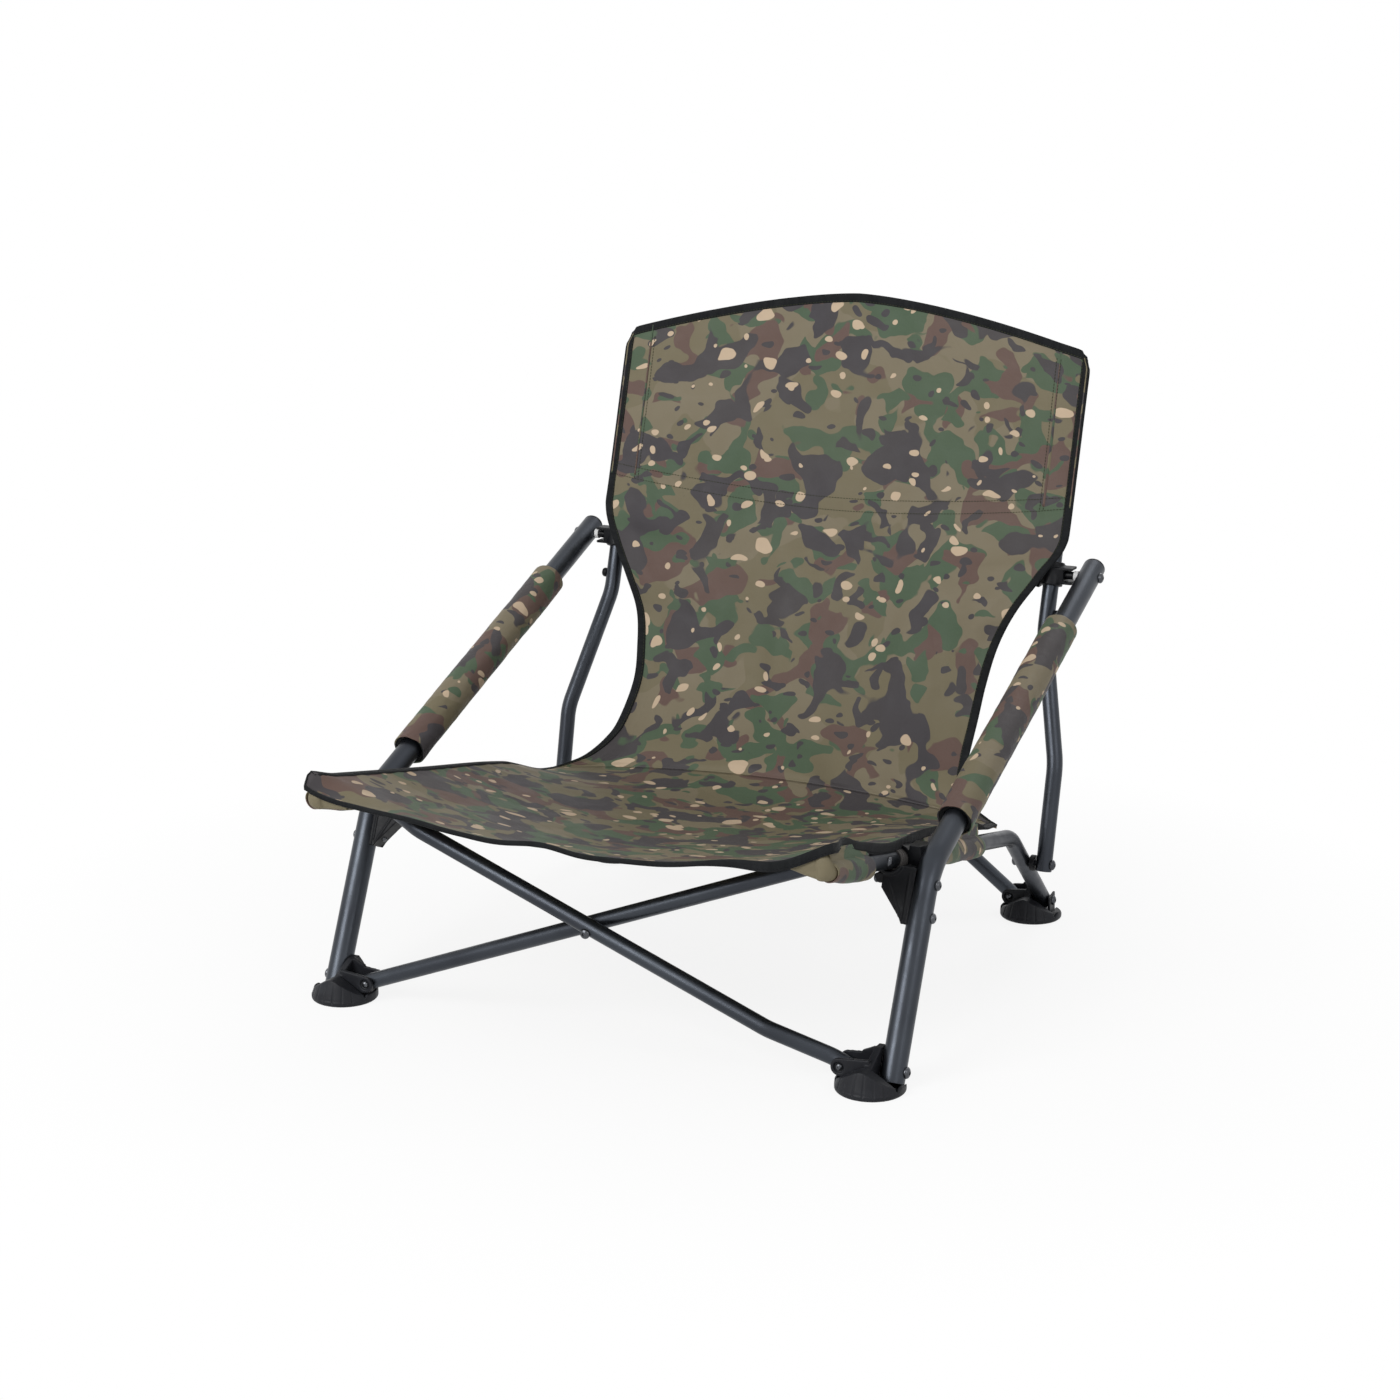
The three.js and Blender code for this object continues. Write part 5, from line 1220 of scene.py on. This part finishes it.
def surface_normal(point, spread, row, toward):
    """Normal of a cloth at a place, on the side that faces 'toward'."""
    step = 0.004
    low_s, high_s = max(-1, spread - step), min(1, spread + step)
    low_r, high_r = max(0, row - step), min(1, row + step)
    normal = (point(high_s, row) - point(low_s, row)).cross(point(spread, high_r) - point(spread, low_r))
    normal.normalize()
    return normal if normal.dot(toward) > 0 else -normal


def swell(value, middle, width):
    """Bell that is 1 at its middle."""
    return math.exp(-((value - middle) / width) ** 2)


def seat_wrinkle(spread, row):
    """Height of the seat's creases in millimetres, with the drawn places at its front and right edge."""
    reach = abs(spread)
    near_front = 1 - smoothstep(row, 0, 0.2)
    right_edge = smoothstep(spread, 0.86, 1)
    soft = ripple(spread * 2.6, row * 4.2, 3.1) * 2.0 + ripple(spread * 6.5, row * 9, 8.4) * 0.8
    pull = ripple(spread * 3.5, row * 16, 5.7) * 1.3 * (1 - smoothstep(row, 0, 0.3))
    gather = ripple(spread * 3, row * 34, 1.9) * 1.2 * smoothstep(reach, 0.72, 0.97)
    lift = (5.0 * swell(row, 0.09, 0.04) - 8.0 * swell(row, 0.30, 0.13)) * right_edge
    lift += (6.5 * swell(spread, -0.08, 0.13) - 8.0 * swell(spread, 0.8, 0.12)) * near_front
    creases = smoothstep(1 - reach, 0, 0.12) * (soft + pull) + gather * smoothstep(1 - reach, 0, 0.03)
    return creases * (1 - smoothstep(row, 0.93, 0.995)) + lift


def back_wrinkle(spread, row):
    """Height of the back's creases in millimetres: soft upright folds below, drawn seams above."""
    reach = abs(spread)
    folds = ripple(spread * 6.0 + row * 1.4, row * 2.2, 12.6) * 6.0 * (1 - smoothstep(row, 0.55, 0.8))
    soft = ripple(spread * 2.4, row * 4.5, 21.3) * 1.8 + ripple(spread * 9, row * 13, 4.4) * 0.5
    seam_row = BACK_SEAM_ROW - SEAM_DIP * (1 - spread * spread)
    seam = swell(row, seam_row, 0.03) * ripple(spread * 26, row * 6, 7.7) * 1.5
    side_pull = ripple(row * 24 - reach * 5, spread * 2, 33.1) * 2.0
    side_pull *= swell(row, 0.68, 0.1) * smoothstep(reach, 0.45, 0.85)
    creases = smoothstep(1 - reach, 0, 0.1) * (folds + soft + side_pull)
    return (creases + seam * smoothstep(1 - reach, 0, 0.04)) * smoothstep(row, 0.0, 0.06)


def cloth_grid(point, wrinkle, toward, columns, rows, flat_start=0.0):
    """Rows of (place, normal, flat map place) over a cloth."""
    grid = []
    length = flat_start
    for j in range(rows + 1):
        row = j / rows
        if j:
            length += (point(0, row) - point(0, (j - 1) / rows)).length
        line = []
        for i in range(columns + 1):
            spread = i / columns * 2 - 1
            normal = surface_normal(point, spread, row, toward)
            line.append([point(spread, row) + normal * (wrinkle(spread, row) * MM), normal, None])
        middle = columns // 2
        for side in (range(middle, -1, -1), range(middle, columns + 1)):
            across, last = 0.0, None
            for i in side:
                if last is not None:
                    across += (point(i / columns * 2 - 1, row) - last).length
                last = point(i / columns * 2 - 1, row)
                line[i][2] = (across if i > middle else -across, length)
        grid.append(line)
    return grid


def grid_piece(name, grid, material=CAMOUFLAGE, thickness=CLOTH_THICKNESS):
    """Cloth of a little thickness over a grid, with its flat map."""
    bm = bmesh.new()
    flat = bm.loops.layers.uv.new("flat")
    verts = [[bm.verts.new(cell[0]) for cell in line] for line in grid]
    for j in range(len(grid) - 1):
        for i in range(len(grid[0]) - 1):
            face = bm.faces.new((verts[j][i], verts[j][i + 1], verts[j + 1][i + 1], verts[j + 1][i]))
            cells = (grid[j][i], grid[j][i + 1], grid[j + 1][i + 1], grid[j + 1][i])
            for loop, cell in zip(face.loops, cells):
                loop[flat].uv = cell[2]
    bm.normal_update()
    bm.faces.ensure_lookup_table()
    row = len(grid) // 2
    if bm.faces[row * (len(grid[0]) - 1)].normal.dot(grid[row][0][1]) < 0:
        bmesh.ops.reverse_faces(bm, faces=bm.faces)
    made = finished(name, bm, material, 180, closed=False)
    return applied(made, ("SOLIDIFY", {"thickness": thickness * MM, "offset": -1.0}))


TAPE_SECTION = (
    (-1.3, -0.65), (-1.05, 0.3), (-0.3, 0.8), (1.2, 0.95), (6.6, 0.8), (7.4, 0.35),
    (7.4, -1.6), (6.6, -2.1), (1.2, -2.25), (-0.3, -2.1), (-1.05, -1.6),
)


def tape(name, path, widths):
    """Edge tape folded over a cloth's edge, along (place, inward way, normal) stations."""
    bm = bmesh.new()
    flat = bm.loops.layers.uv.new("flat")
    rings, runs = [], []
    run = 0.0
    for k, (point, inward, normal) in enumerate(path):
        if k:
            run += (point - path[k - 1][0]).length
        runs.append(run)
        wave = ripple(run * 30, k * 0.01, 6.2) * 0.5
        rings.append([
            bm.verts.new(point + (inward * (a * widths[k]) + normal * (b + wave * (a > 5))) * MM)
            for a, b in TAPE_SECTION])
    count = len(TAPE_SECTION)
    for k in range(len(rings) - 1):
        for s in range(count):
            n = (s + 1) % count
            face = bm.faces.new((rings[k][s], rings[k][n], rings[k + 1][n], rings[k + 1][s]))
            for loop, a, b in zip(face.loops, (k, k, k + 1, k + 1), (s, s + 1, s + 1, s)):
                loop[flat].uv = (runs[a], b * 0.0016)
    for ring in (rings[0], rings[-1]):
        face = bm.faces.new(ring)
        for loop in face.loops:
            loop[flat].uv = (0, 0)
    return finished(name, bm, EDGE_TAPE, 60)


def edge_path(cells, inner_cells):
    """Stations along one edge of a grid, with the way into the cloth from its neighbours."""
    path = []
    for (point, normal, _), neighbour in zip(cells, inner_cells):
        inward = neighbour[0] - point
        inward = (inward - normal * inward.dot(normal)).normalized()
        path.append((point, inward, normal))
    return path


def side_paths(grid):
    """Stations along a cloth's left and right edge, from its first row to its last."""
    return [edge_path([row[edge] for row in grid], [row[inner] for row in grid])
            for edge, inner in ((0, 2), (-1, -3))]


def rounded_corners(path, reach=0.006):
    """Turns the way into the cloth gradually where two edges meet."""
    smooth = []
    for k, (point, _, normal) in enumerate(path):
        near = [way for spot, way, _ in path[max(0, k - 6):k + 7] if (spot - point).length < reach]
        smooth.append((point, sum(near, Vector()).normalized(), normal))
    return smooth


def hanging(path, fade, outset):
    """Turns edge stations so that their tape hangs down outside the edge instead of lying on it."""
    made = []
    for (point, inward, normal), share in zip(path, fade):
        outward = Vector((-inward.x, -inward.y, 0)).normalized()
        down = -UP - outward * 0.12
        made.append((point + outward * (outset * share * MM), inward.lerp(down, share).normalized(),
                     normal.lerp(outward, share).normalized()))
    return made


# Stitching
def stitch_tree():
    """Lays small thread stitches end to end along loose edges."""
    tree, given, add = open_tree(
        "stitches", {"Pitch": 0.0036, "Stitch Length": 0.0027, "Thread Radius": 0.00042})
    line = add("GeometryNodeMeshToCurve", {"Mesh": given["Geometry"]})
    even = add("GeometryNodeResampleCurve", {"Curve": line, "Length": given["Pitch"]}, mode="LENGTH")
    turn = add("FunctionNodeAlignRotationToVector", {"Vector": add("GeometryNodeInputTangent")}, axis="Z")
    thread = add("GeometryNodeMeshUVSphere", {"Segments": 6, "Rings": 5, "Radius": 1.0})
    half = add("ShaderNodeMath", {0: given["Stitch Length"], 1: 0.5}, operation="MULTIPLY")
    thin = given["Thread Radius"]
    size = add("ShaderNodeCombineXYZ", {"X": thin, "Y": thin, "Z": half})
    put = add("GeometryNodeInstanceOnPoints",
              {"Points": even, "Instance": thread, "Rotation": turn, "Scale": size})
    return close_tree(tree, given, add, put)


STITCHES = stitch_tree()


def stitching(name, lines, material=THREAD):
    """One piece of all the stitches along several lines of places."""
    points, edges = [], []
    for line in lines:
        edges += [(len(points) + k, len(points) + k + 1) for k in range(len(line) - 1)]
        points += line
    mesh = bpy.data.meshes.new(name)
    mesh.from_pydata(points, edges, [])
    made = run_tree(linked(name, mesh), STITCHES, {"Finish": material})
    made.data.shade_smooth()
    return made


def offset_line(path, insets, rise):
    """Places some millimetres inside and above an edge, with an inset for each station."""
    return [point + (inward * inset + normal * rise) * MM
            for (point, inward, normal), inset in zip(path, insets)]


# Seat and back
SEAT_COLUMNS, SEAT_ROWS, BACK_COLUMNS_FINE, BACK_ROWS_FINE = 120, 110, 124, 150
seat_grid = cloth_grid(seat_point, seat_wrinkle, UP, SEAT_COLUMNS, SEAT_ROWS)
SEAT_LENGTH = seat_grid[-1][SEAT_COLUMNS // 2][2][1]
FRONTWARD = Vector((0, -1, 0.3)).normalized()
back_grid = cloth_grid(back_point, back_wrinkle, FRONTWARD, BACK_COLUMNS_FINE, BACK_ROWS_FINE, SEAT_LENGTH)

# Distances of the seams: from the edges, up the back in rows, and beside each pocket
SEAT_HEM, BACK_HEM, SEAM_ROWS, POCKET_SEAMS = 5.6, 7.6, (0, 0.011), (254, 259)


def fold_with(piece, body, slot="camouflage_cloth", nodes=()):
    """Lets a piece ride on one side's frame, with a mesh of its own."""
    place(piece, body, slot, *nodes)
    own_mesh(piece)
    return piece


def seat():
    """Seat cloth with its edge tape, which lies flat on the left edge and hangs from the others."""
    cloth = grid_piece("seat_cloth", seat_grid, CAMOUFLAGE)
    fold_with(cloth, "left_rail", nodes=("seat_panel",))
    left_side, right_side = side_paths(seat_grid)
    front = edge_path(seat_grid[0], seat_grid[2])
    flat_path = rounded_corners(left_side[:0:-1] + front + right_side[1:])
    rows = [j / SEAT_ROWS for j in range(1, SEAT_ROWS + 1)]
    fade = [1 - smoothstep(row, 0, 0.045) for row in rows[::-1]] + [1] * len(front)
    fade += [1 - smoothstep(row, 0.74, 0.96) for row in rows]
    widths = [0.95] * len(rows)
    widths += [lerp(0.62, 1.25, smoothstep(i / SEAT_COLUMNS, 0.75, 0.88)) for i in range(SEAT_COLUMNS + 1)]
    # On the right edge between the sleeves the tape is made wider: real tape, plus black that paints the
    # shade in the gap between the hem and the rail.
    widths += [1.25 + 0.15 * (smoothstep(row, 0.16, 0.22) - smoothstep(row, 0.48, 0.54)) for row in rows]
    path = hanging(flat_path, fade, 2.2)
    binding = tape("seat_edge_tape", path, widths)
    fold_with(binding, "left_rail", "black_plastic")
    seam_line = offset_line(path, [SEAT_HEM * width for width in widths], 1.0)
    seam = stitching("seat_edge_stitches", [seam_line], TAPE_THREAD)
    fold_with(seam, "left_rail")


def back():
    """Back cloth with its edge tape, the double seam across it and the seams of its pockets."""
    lip = [[spot - UP * 5 * MM, normal, (flat[0], flat[1] - 5 * MM)] for spot, normal, flat in back_grid[0]]
    cloth = grid_piece("back_cloth", [lip] + back_grid, CAMOUFLAGE)
    fold_with(cloth, "left_upright", nodes=("back_panel",))
    left_side, right_side = side_paths(back_grid)
    top = edge_path(back_grid[-1], back_grid[-3])
    path = rounded_corners(left_side[:-1] + top + right_side[-2::-1])
    binding = tape("back_edge_tape", path, [1.2] * len(path))
    fold_with(binding, "left_upright", "black_plastic")
    lines = [offset_line(path, [BACK_HEM] * len(path), 1.0)]
    seam_row = round(BACK_SEAM_ROW * BACK_ROWS_FINE)
    for rise in SEAM_ROWS:
        line = []
        for i in range(2, BACK_COLUMNS_FINE - 1):
            spread = i / BACK_COLUMNS_FINE * 2 - 1
            at = (BACK_SEAM_ROW + rise - SEAM_DIP * (1 - spread * spread)) * BACK_ROWS_FINE
            low, high = back_grid[int(at)][i], back_grid[int(at) + 1][i]
            line.append(low[0].lerp(high[0], at - int(at)) + low[1] * 0.3 * MM)
        lines.append(line)
    for side in (-1, 1):
        for x in POCKET_SEAMS:
            column = round((side * x / BACK_HALF + 1) / 2 * BACK_COLUMNS_FINE)
            lines.append([back_grid[j][column][0] + back_grid[j][column][1] * 0.3 * MM
                          for j in range(seam_row, BACK_ROWS_FINE - 2)])
    seams = fold_with(stitching("back_stitches", lines), "left_upright")


seat()
back()


# Pockets, sleeves and arm pads
POCKET_LOW_Z, POCKET_HIGH_Z = 470, 641
POCKET_ROWS, POCKET_COLUMNS, POCKET_ROOM = 60, 36, 10.3
POCKET_SEAM_X, POCKET_EDGE_X = 257, 289.5


def cell(side, spot, way, flat):
    """One cell of a cloth's grid, on one hand of the chair."""
    return [Vector((spot.x * side, spot.y, spot.z)), Vector((way.x * side, way.y, way.z)), flat]


def cloth_on(hand, word, grid, body, thickness=THIN_CLOTH, nodes=()):
    """A small cloth of one side frame, on the body that it is sewn round."""
    made = grid_piece(f"{hand}_{word}", grid, CAMOUFLAGE, thickness)
    return place(made, f"{hand}_{body}", "camouflage_cloth", *[f"{hand}_{node}" for node in nodes])


def upright_pocket(hand, side):
    """Cloth pocket sewn behind the back, from its inner seam round the upright to the edge."""
    grid = []
    for j in range(POCKET_ROWS + 1):
        share = j / POCKET_ROWS
        row = lerp(BACK_SEAM_ROW, 0.998, share)
        z = lerp(POCKET_LOW_Z, POCKET_HIGH_Z, share)
        axis = mm(UPRIGHT_TOP_X, upright_y(z), z)
        close = smoothstep(share, 0.945, 1.0)
        inner, outer = [back_point(x / BACK_HALF, row) for x in (POCKET_SEAM_X, POCKET_EDGE_X)]
        line = []
        for i in range(POCKET_COLUMNS + 1):
            t = i / POCKET_COLUMNS
            flat_place = inner.lerp(outer, t) + UPRIGHT_WAY.cross(ACROSS) * (-1.6 * MM)
            angle = math.radians(lerp(-112, 112, clamp((t - 0.12) / 0.76)))
            c = math.cos(angle)
            behind = Vector((math.sin(angle), c * UPRIGHT_WAY.z, -c * UPRIGHT_WAY.y))
            pull = smoothstep(t, 0.0, 0.2) * (1 - smoothstep(t, 0.82, 1.0)) * (1 - close)
            slack = ripple(t * 3, share * 9, 4.4 + side) * 0.7 * pull
            point = flat_place.lerp(axis + behind * (POCKET_ROOM * MM), pull) + behind * (slack * MM)
            line.append(cell(side, point, behind, (t * 0.06, share * 0.17 + 0.4)))
        grid.append(line)
    made = cloth_on(hand, "back_pocket", grid, "upright")


SLEEVES = (("front", -372, -278), ("rear", -128, 36))
NOSE_START_Y, NOSE_PIVOT_X, NOSE_TIP_X = -369, 271.4, 243
EDGE_X, EDGE_THICK, SLEEVE_SLACK, SLEEVE_NECK, NECK_SHARE = 282.3, 1.2, 1.7, 11.2, 0.16
THREAD_STEP, SLEEVE_COLUMNS = 0.0015, 64


def keyhole(share):
    """Section of a sleeve round the rail: a loop that closes upwards into the sewn cloth edge."""
    top = FIN_RISE - 2
    if share < NECK_SHARE:
        t = share / NECK_SHARE
        return EDGE_THICK + 0.6 + 1.6 * smoothstep(t, 0.4, 1), lerp(top, SLEEVE_NECK, t)
    if share > 1 - NECK_SHARE:
        t = (share - 1 + NECK_SHARE) / NECK_SHARE
        return -0.4 - 1.6 * (1 - smoothstep(t, 0.0, 0.6)), lerp(SLEEVE_NECK, top, t)
    turn = math.radians(lerp(78, -258, (share - NECK_SHARE) / (1 - 2 * NECK_SHARE)))
    radius = SLEEVE_RADIUS - 0.1 + SLEEVE_SLACK * clamp(0.2 + math.cos(turn + 0.7))
    return radius * math.cos(turn), radius * math.sin(turn)


def rail_sleeve(hand, side, word, low_y, high_y):
    """Camouflage tunnel on the rail under the seat's edge, tightened at its open ends."""
    rows = round((high_y - low_y) / 3)
    shrink = (SLEEVE_RADIUS + 1.1 - RAIL_RADIUS) * 0.8
    grid = []
    for j in range(rows + 1):
        y = lerp(low_y, high_y, j / rows)
        closing = smoothstep(y, high_y - 7, high_y)
        tight = 1 - smoothstep(y, low_y, -318) if word == "front" else 0
        if word == "rear":
            closing = max(closing, 1 - smoothstep(y, low_y, low_y + 7))
        line = []
        for i in range(SLEEVE_COLUMNS + 1):
            across, up = keyhole(i / SLEEVE_COLUMNS)
            if side < 0:
                up -= left_dip(y - SEAT_FRONT_Y) * clamp((up - 9) / 14)
            if up > 13:
                way, slack = Vector((1 if across > 0.5 else -1, 0, 0)), 0.0
            else:
                way = Vector((across, 0, up)).normalized()
                slack = ripple(i * 0.12, y * 0.045, 9.1 + side) * 1.1 * (i not in (0, SLEEVE_COLUMNS))
                bulge = 3.0 * clamp(math.cos(i / SLEEVE_COLUMNS * math.tau + 2.7) + 0.3) * (1 - closing)
                bulge -= (1.0 + bulge + 0.6 * slack) * tight
                slack = (slack + bulge) * (1 - closing) - shrink * closing ** 3
            spot = mm(RAIL_X + across, y, rail_z(y) + up) + way * (slack * MM)
            line.append(cell(side, spot, way, (i * THREAD_STEP, y * MM)))
        grid.append(line)
    made = cloth_on(hand, f"rail_sleeve_{word}", grid, "rail", nodes=("seat_sleeve",))


def sleeve_nose(hand, side):
    """Closed front end of the sleeve, drawn inward to a point under the front hem."""
    rows, columns = 34, 48
    grid = []
    z0 = rail_z(NOSE_START_Y)
    lift = 4.5 if side > 0 else 0.0
    for j in range(rows + 1):
        t = j / rows
        if t < 0.5:
            share, turn = 2 * t, math.pi * t
            rise = lift * smoothstep(share, 0, 0.3)
            reach = lerp(RAIL_X - NOSE_PIVOT_X, 3.0, share)
            centre = Vector((NOSE_PIVOT_X + math.cos(turn) * reach, NOSE_START_Y - math.sin(turn) * reach,
                             z0 + rise))
            wide, high = lerp(10.0, 3.4, share), lerp(10.0, 8.5, share) + rise
        else:
            share, turn = 2 * t - 1, math.pi / 2
            centre = Vector((lerp(NOSE_PIVOT_X, NOSE_TIP_X, share), NOSE_START_Y - 3.0,
                             z0 + lift - 5 * share))
            wide, high = lerp(3.4, 1.4, share), lerp(8.5 + lift, 1.5, share)
        across = Vector((math.cos(turn), -math.sin(turn), 0))
        line = []
        for i in range(columns + 1):
            angle = math.pi / 2 - math.tau * i / columns
            c, sn = math.cos(angle), math.sin(angle)
            slack = ripple(c * 1.5 + t * 3, sn * 1.5, 27.3 + side) * 1.3 * math.sin(math.pi * t)
            way = across * c + UP * sn
            spot = centre + across * (wide * c) + UP * (high * sn) + way * slack
            line.append(cell(side, spot * MM, way, (i * THREAD_STEP, (NOSE_START_Y - 36 * t) * MM)))
        grid.append(line)
    made = cloth_on(hand, "sleeve_nose", grid, "rail", nodes=("seat_sleeve",))


def sleeve_edge(hand, side, word, low_y, high_y):
    """Doubled cloth edge that stands up from a sleeve to the seat's edge."""
    rows, columns = round((high_y - low_y) / 3), 6
    grid = []
    for j in range(rows + 1):
        y = lerp(low_y, high_y, j / rows)
        top = FIN_RISE - 2.5 - (left_dip(y - SEAT_FRONT_Y) if side < 0 else 0)
        line = []
        for i in range(columns + 1):
            up = lerp(9.6, top, i / columns)
            wave = ripple(y * 0.03, up * 0.05, 14.2 + side) * 0.5
            spot = mm(EDGE_X + 1.6 + wave, y, rail_z(y) + up)
            line.append(cell(side, spot, ACROSS, (up * MM, y * MM)))
        grid.append(line)
    made = cloth_on(hand, f"sleeve_edge_{word}", grid, "rail", 1.5, ("seat_sleeve",))


PAD_RADIUS, PAD_LOW_Y, PAD_HIGH_Y, PAD_STEPS, PAD_COLUMNS = 19.3, -130, 193, 110, 72
LINING_ROWS = 5


def arm_pad(hand, side):
    """Foam sleeve in a camouflage cover with dark lining in its open ends."""
    start, end = [mm(ARM_X, y, arm_z(y)) for y in (PAD_LOW_Y, PAD_HIGH_Y)]
    length = (end - start).length / MM
    bore = ARM_RADIUS + FIT_GAP
    opening = [(bore, 9), (bore, 4.5), (14.4, 3.2), (16.2, 2.9), (17.1, 2.4), (17.4, 1.2), (17.9, 0.3),
               (18.5, 0.0), (19.0, 0.5), (19.1, 1.8)]
    profile = opening + [(PAD_RADIUS - 0.2, lerp(4, length - 4, k / PAD_STEPS)) for k in range(PAD_STEPS + 1)]
    profile += [(r, length - h) for r, h in opening[::-1]]
    last = len(profile) - 1
    bm = bmesh.new()
    flat = bm.loops.layers.uv.new("flat")
    up_way = ACROSS.cross(ARM_WAY).normalized()
    rings = []
    for k, (radius, h) in enumerate(profile):
        ring = []
        share = clamp(h / length)
        half = share > 0.5
        cover = LINING_ROWS <= k <= last - LINING_ROWS
        near_end = 1 - smoothstep(min(h, length - h), 2, 30)
        for i in range(PAD_COLUMNS):
            angle = math.tau * i / PAD_COLUMNS
            c, sn = math.cos(angle), math.sin(angle)
            soft = ripple(c * 1.1 + 3, share * 5 + sn * 1.1, 2.7 + side) * 0.8
            crease = ripple(c * 2.2 + sn * 2.2, share * 26 + c * 2, 15.3 + side) * 0.4
            ends = ripple(c * 1.6, sn * 1.6, 31 + side + half) * near_end
            r = radius + cover * (soft + crease + ends)
            shift = cover * near_end * ripple(c * 1.4, sn * 1.4, 44 + side + half) * 1.6
            point = start + (ARM_WAY * (h + shift) + (ACROSS * c + up_way * sn) * r) * MM
            ring.append(bm.verts.new(Vector((point.x * side, point.y, point.z))))
        rings.append(ring)
    for k, low in enumerate(rings):
        high = rings[(k + 1) % len(rings)]
        h0, h1 = profile[k][1], profile[(k + 1) % len(rings)][1]
        for i in range(PAD_COLUMNS):
            n = (i + 1) % PAD_COLUMNS
            face = bm.faces.new((low[i], low[n], high[n], high[i]))
            face.material_index = int(k < LINING_ROWS or k >= last - LINING_ROWS)
            for loop, (a, h) in zip(face.loops, ((i, h0), (i + 1, h0), (i + 1, h1), (i, h1))):
                loop[flat].uv = (a / PAD_COLUMNS * 0.121, h * MM)
    made = finished(f"{hand}_arm_pad_cover", bm, PAD_CAMOUFLAGE, 180)
    made.data.materials.append(LINING)
    place(made, f"{hand}_arm", "pad_cover", f"{hand}_arm_pad")


for hand, side in HANDS:
    upright_pocket(hand, side)
    for word, low_y, high_y in SLEEVES:
        rail_sleeve(hand, side, word, low_y, high_y)
        sleeve_edge(hand, side, word, low_y, high_y - 3)
    sleeve_nose(hand, side)
    arm_pad(hand, side)


# Camera, light and floor
WHITE, WORLD_LIGHT, FLOOR_REACH = (1, 1, 1, 1), 0.36, 40
LAMPS = (
    ("key", (-1.15, -2.85, 1.95), 1.8, 76), ("fill", (2.6, -1.2, 1.6), 1.4, 14),
    ("rim", (0.4, 2.6, 2.6), 1.6, 26),
)


def camera():
    """The photograph's camera, solved from mirrored points of the frame."""
    data = bpy.data.cameras.new("camera")
    data.lens, data.sensor_width, data.sensor_fit = 70.33, 36, "AUTO"
    made = linked("camera", data)
    made.location = mm(1218.84, -2611.14, 1009.88)
    made.rotation_euler = Vector((0.4176, -0.8756, 0.2428)).to_track_quat("Z", "Y").to_euler()
    bpy.context.scene.camera = made


def area_light(name, spot, size, power):
    """Square lamp that points at the seat."""
    data = bpy.data.lights.new(name, "AREA")
    data.shape, data.size, data.energy = "SQUARE", size, power
    made = linked(name, data)
    made.location = spot
    made.rotation_euler = (Vector(spot) - Vector((0, 0, 0.3))).to_track_quat("Z", "Y").to_euler()


def seen_white(tree, light_strength):
    """A background that lights softly and looks white to the eye, to gloss and through glass."""
    path = tree.nodes.new("ShaderNodeLightPath").outputs
    seen = path["Is Camera Ray"]
    for ray in ("Is Transmission Ray", "Is Glossy Ray"):
        seen = add_node(tree, "ShaderNodeMath", {0: seen, 1: path[ray]}, operation="MAXIMUM").outputs[0]
    return add_node(
        tree, "ShaderNodeMapRange", {"Value": seen, "To Min": light_strength, "To Max": 1.0}
    ).outputs["Result"]


def surroundings():
    """Soft white world, a pale floor that turns white away from the chair, and the lamps."""
    world = bpy.data.worlds.new("soft_studio")
    bpy.context.scene.world = world
    world.use_nodes = True
    tree = world.node_tree
    shade = tree.nodes["Background"]
    shade.inputs["Color"].default_value = WHITE
    tree.links.new(seen_white(tree, WORLD_LIGHT), shade.inputs["Strength"])
    mesh = bpy.data.meshes.new("pale_floor")
    corners = [(x * FLOOR_REACH, y * FLOOR_REACH, 0) for x, y in ((-1, -1), (1, -1), (1, 1), (-1, 1))]
    mesh.from_pydata(corners, [], [(0, 1, 2, 3)])
    floor = linked("pale_floor", mesh)
    finish = Finish("pale_floor_paint")
    finish.set(Base_Color=(0.9, 0.9, 0.9, 1), Roughness=0.9, Specular_IOR_Level=0.1)
    place_on_floor = finish.coords.outputs["Object"]
    away = finish.node("VectorMath", {0: place_on_floor}, operation="LENGTH").outputs["Value"]
    whiteness = finish.remap(away, 0.3, 0.9, 0.86, 1.0)
    glow = finish.node("Emission", {"Color": WHITE, "Strength": 1.0}).outputs[0]
    share = finish.maths("MULTIPLY", whiteness, seen_white(finish.tree, 0.0))
    blend = finish.node("MixShader", {0: share, 1: finish.shader.outputs[0], 2: glow}).outputs[0]
    finish.tree.links.new(blend, finish.tree.nodes["Material Output"].inputs["Surface"])
    mesh.materials.append(finish.material)
    for name, spot, size, power in LAMPS:
        area_light(name, spot, size, power)


camera()
surroundings()
bpy.context.scene.view_settings.view_transform = "Standard"
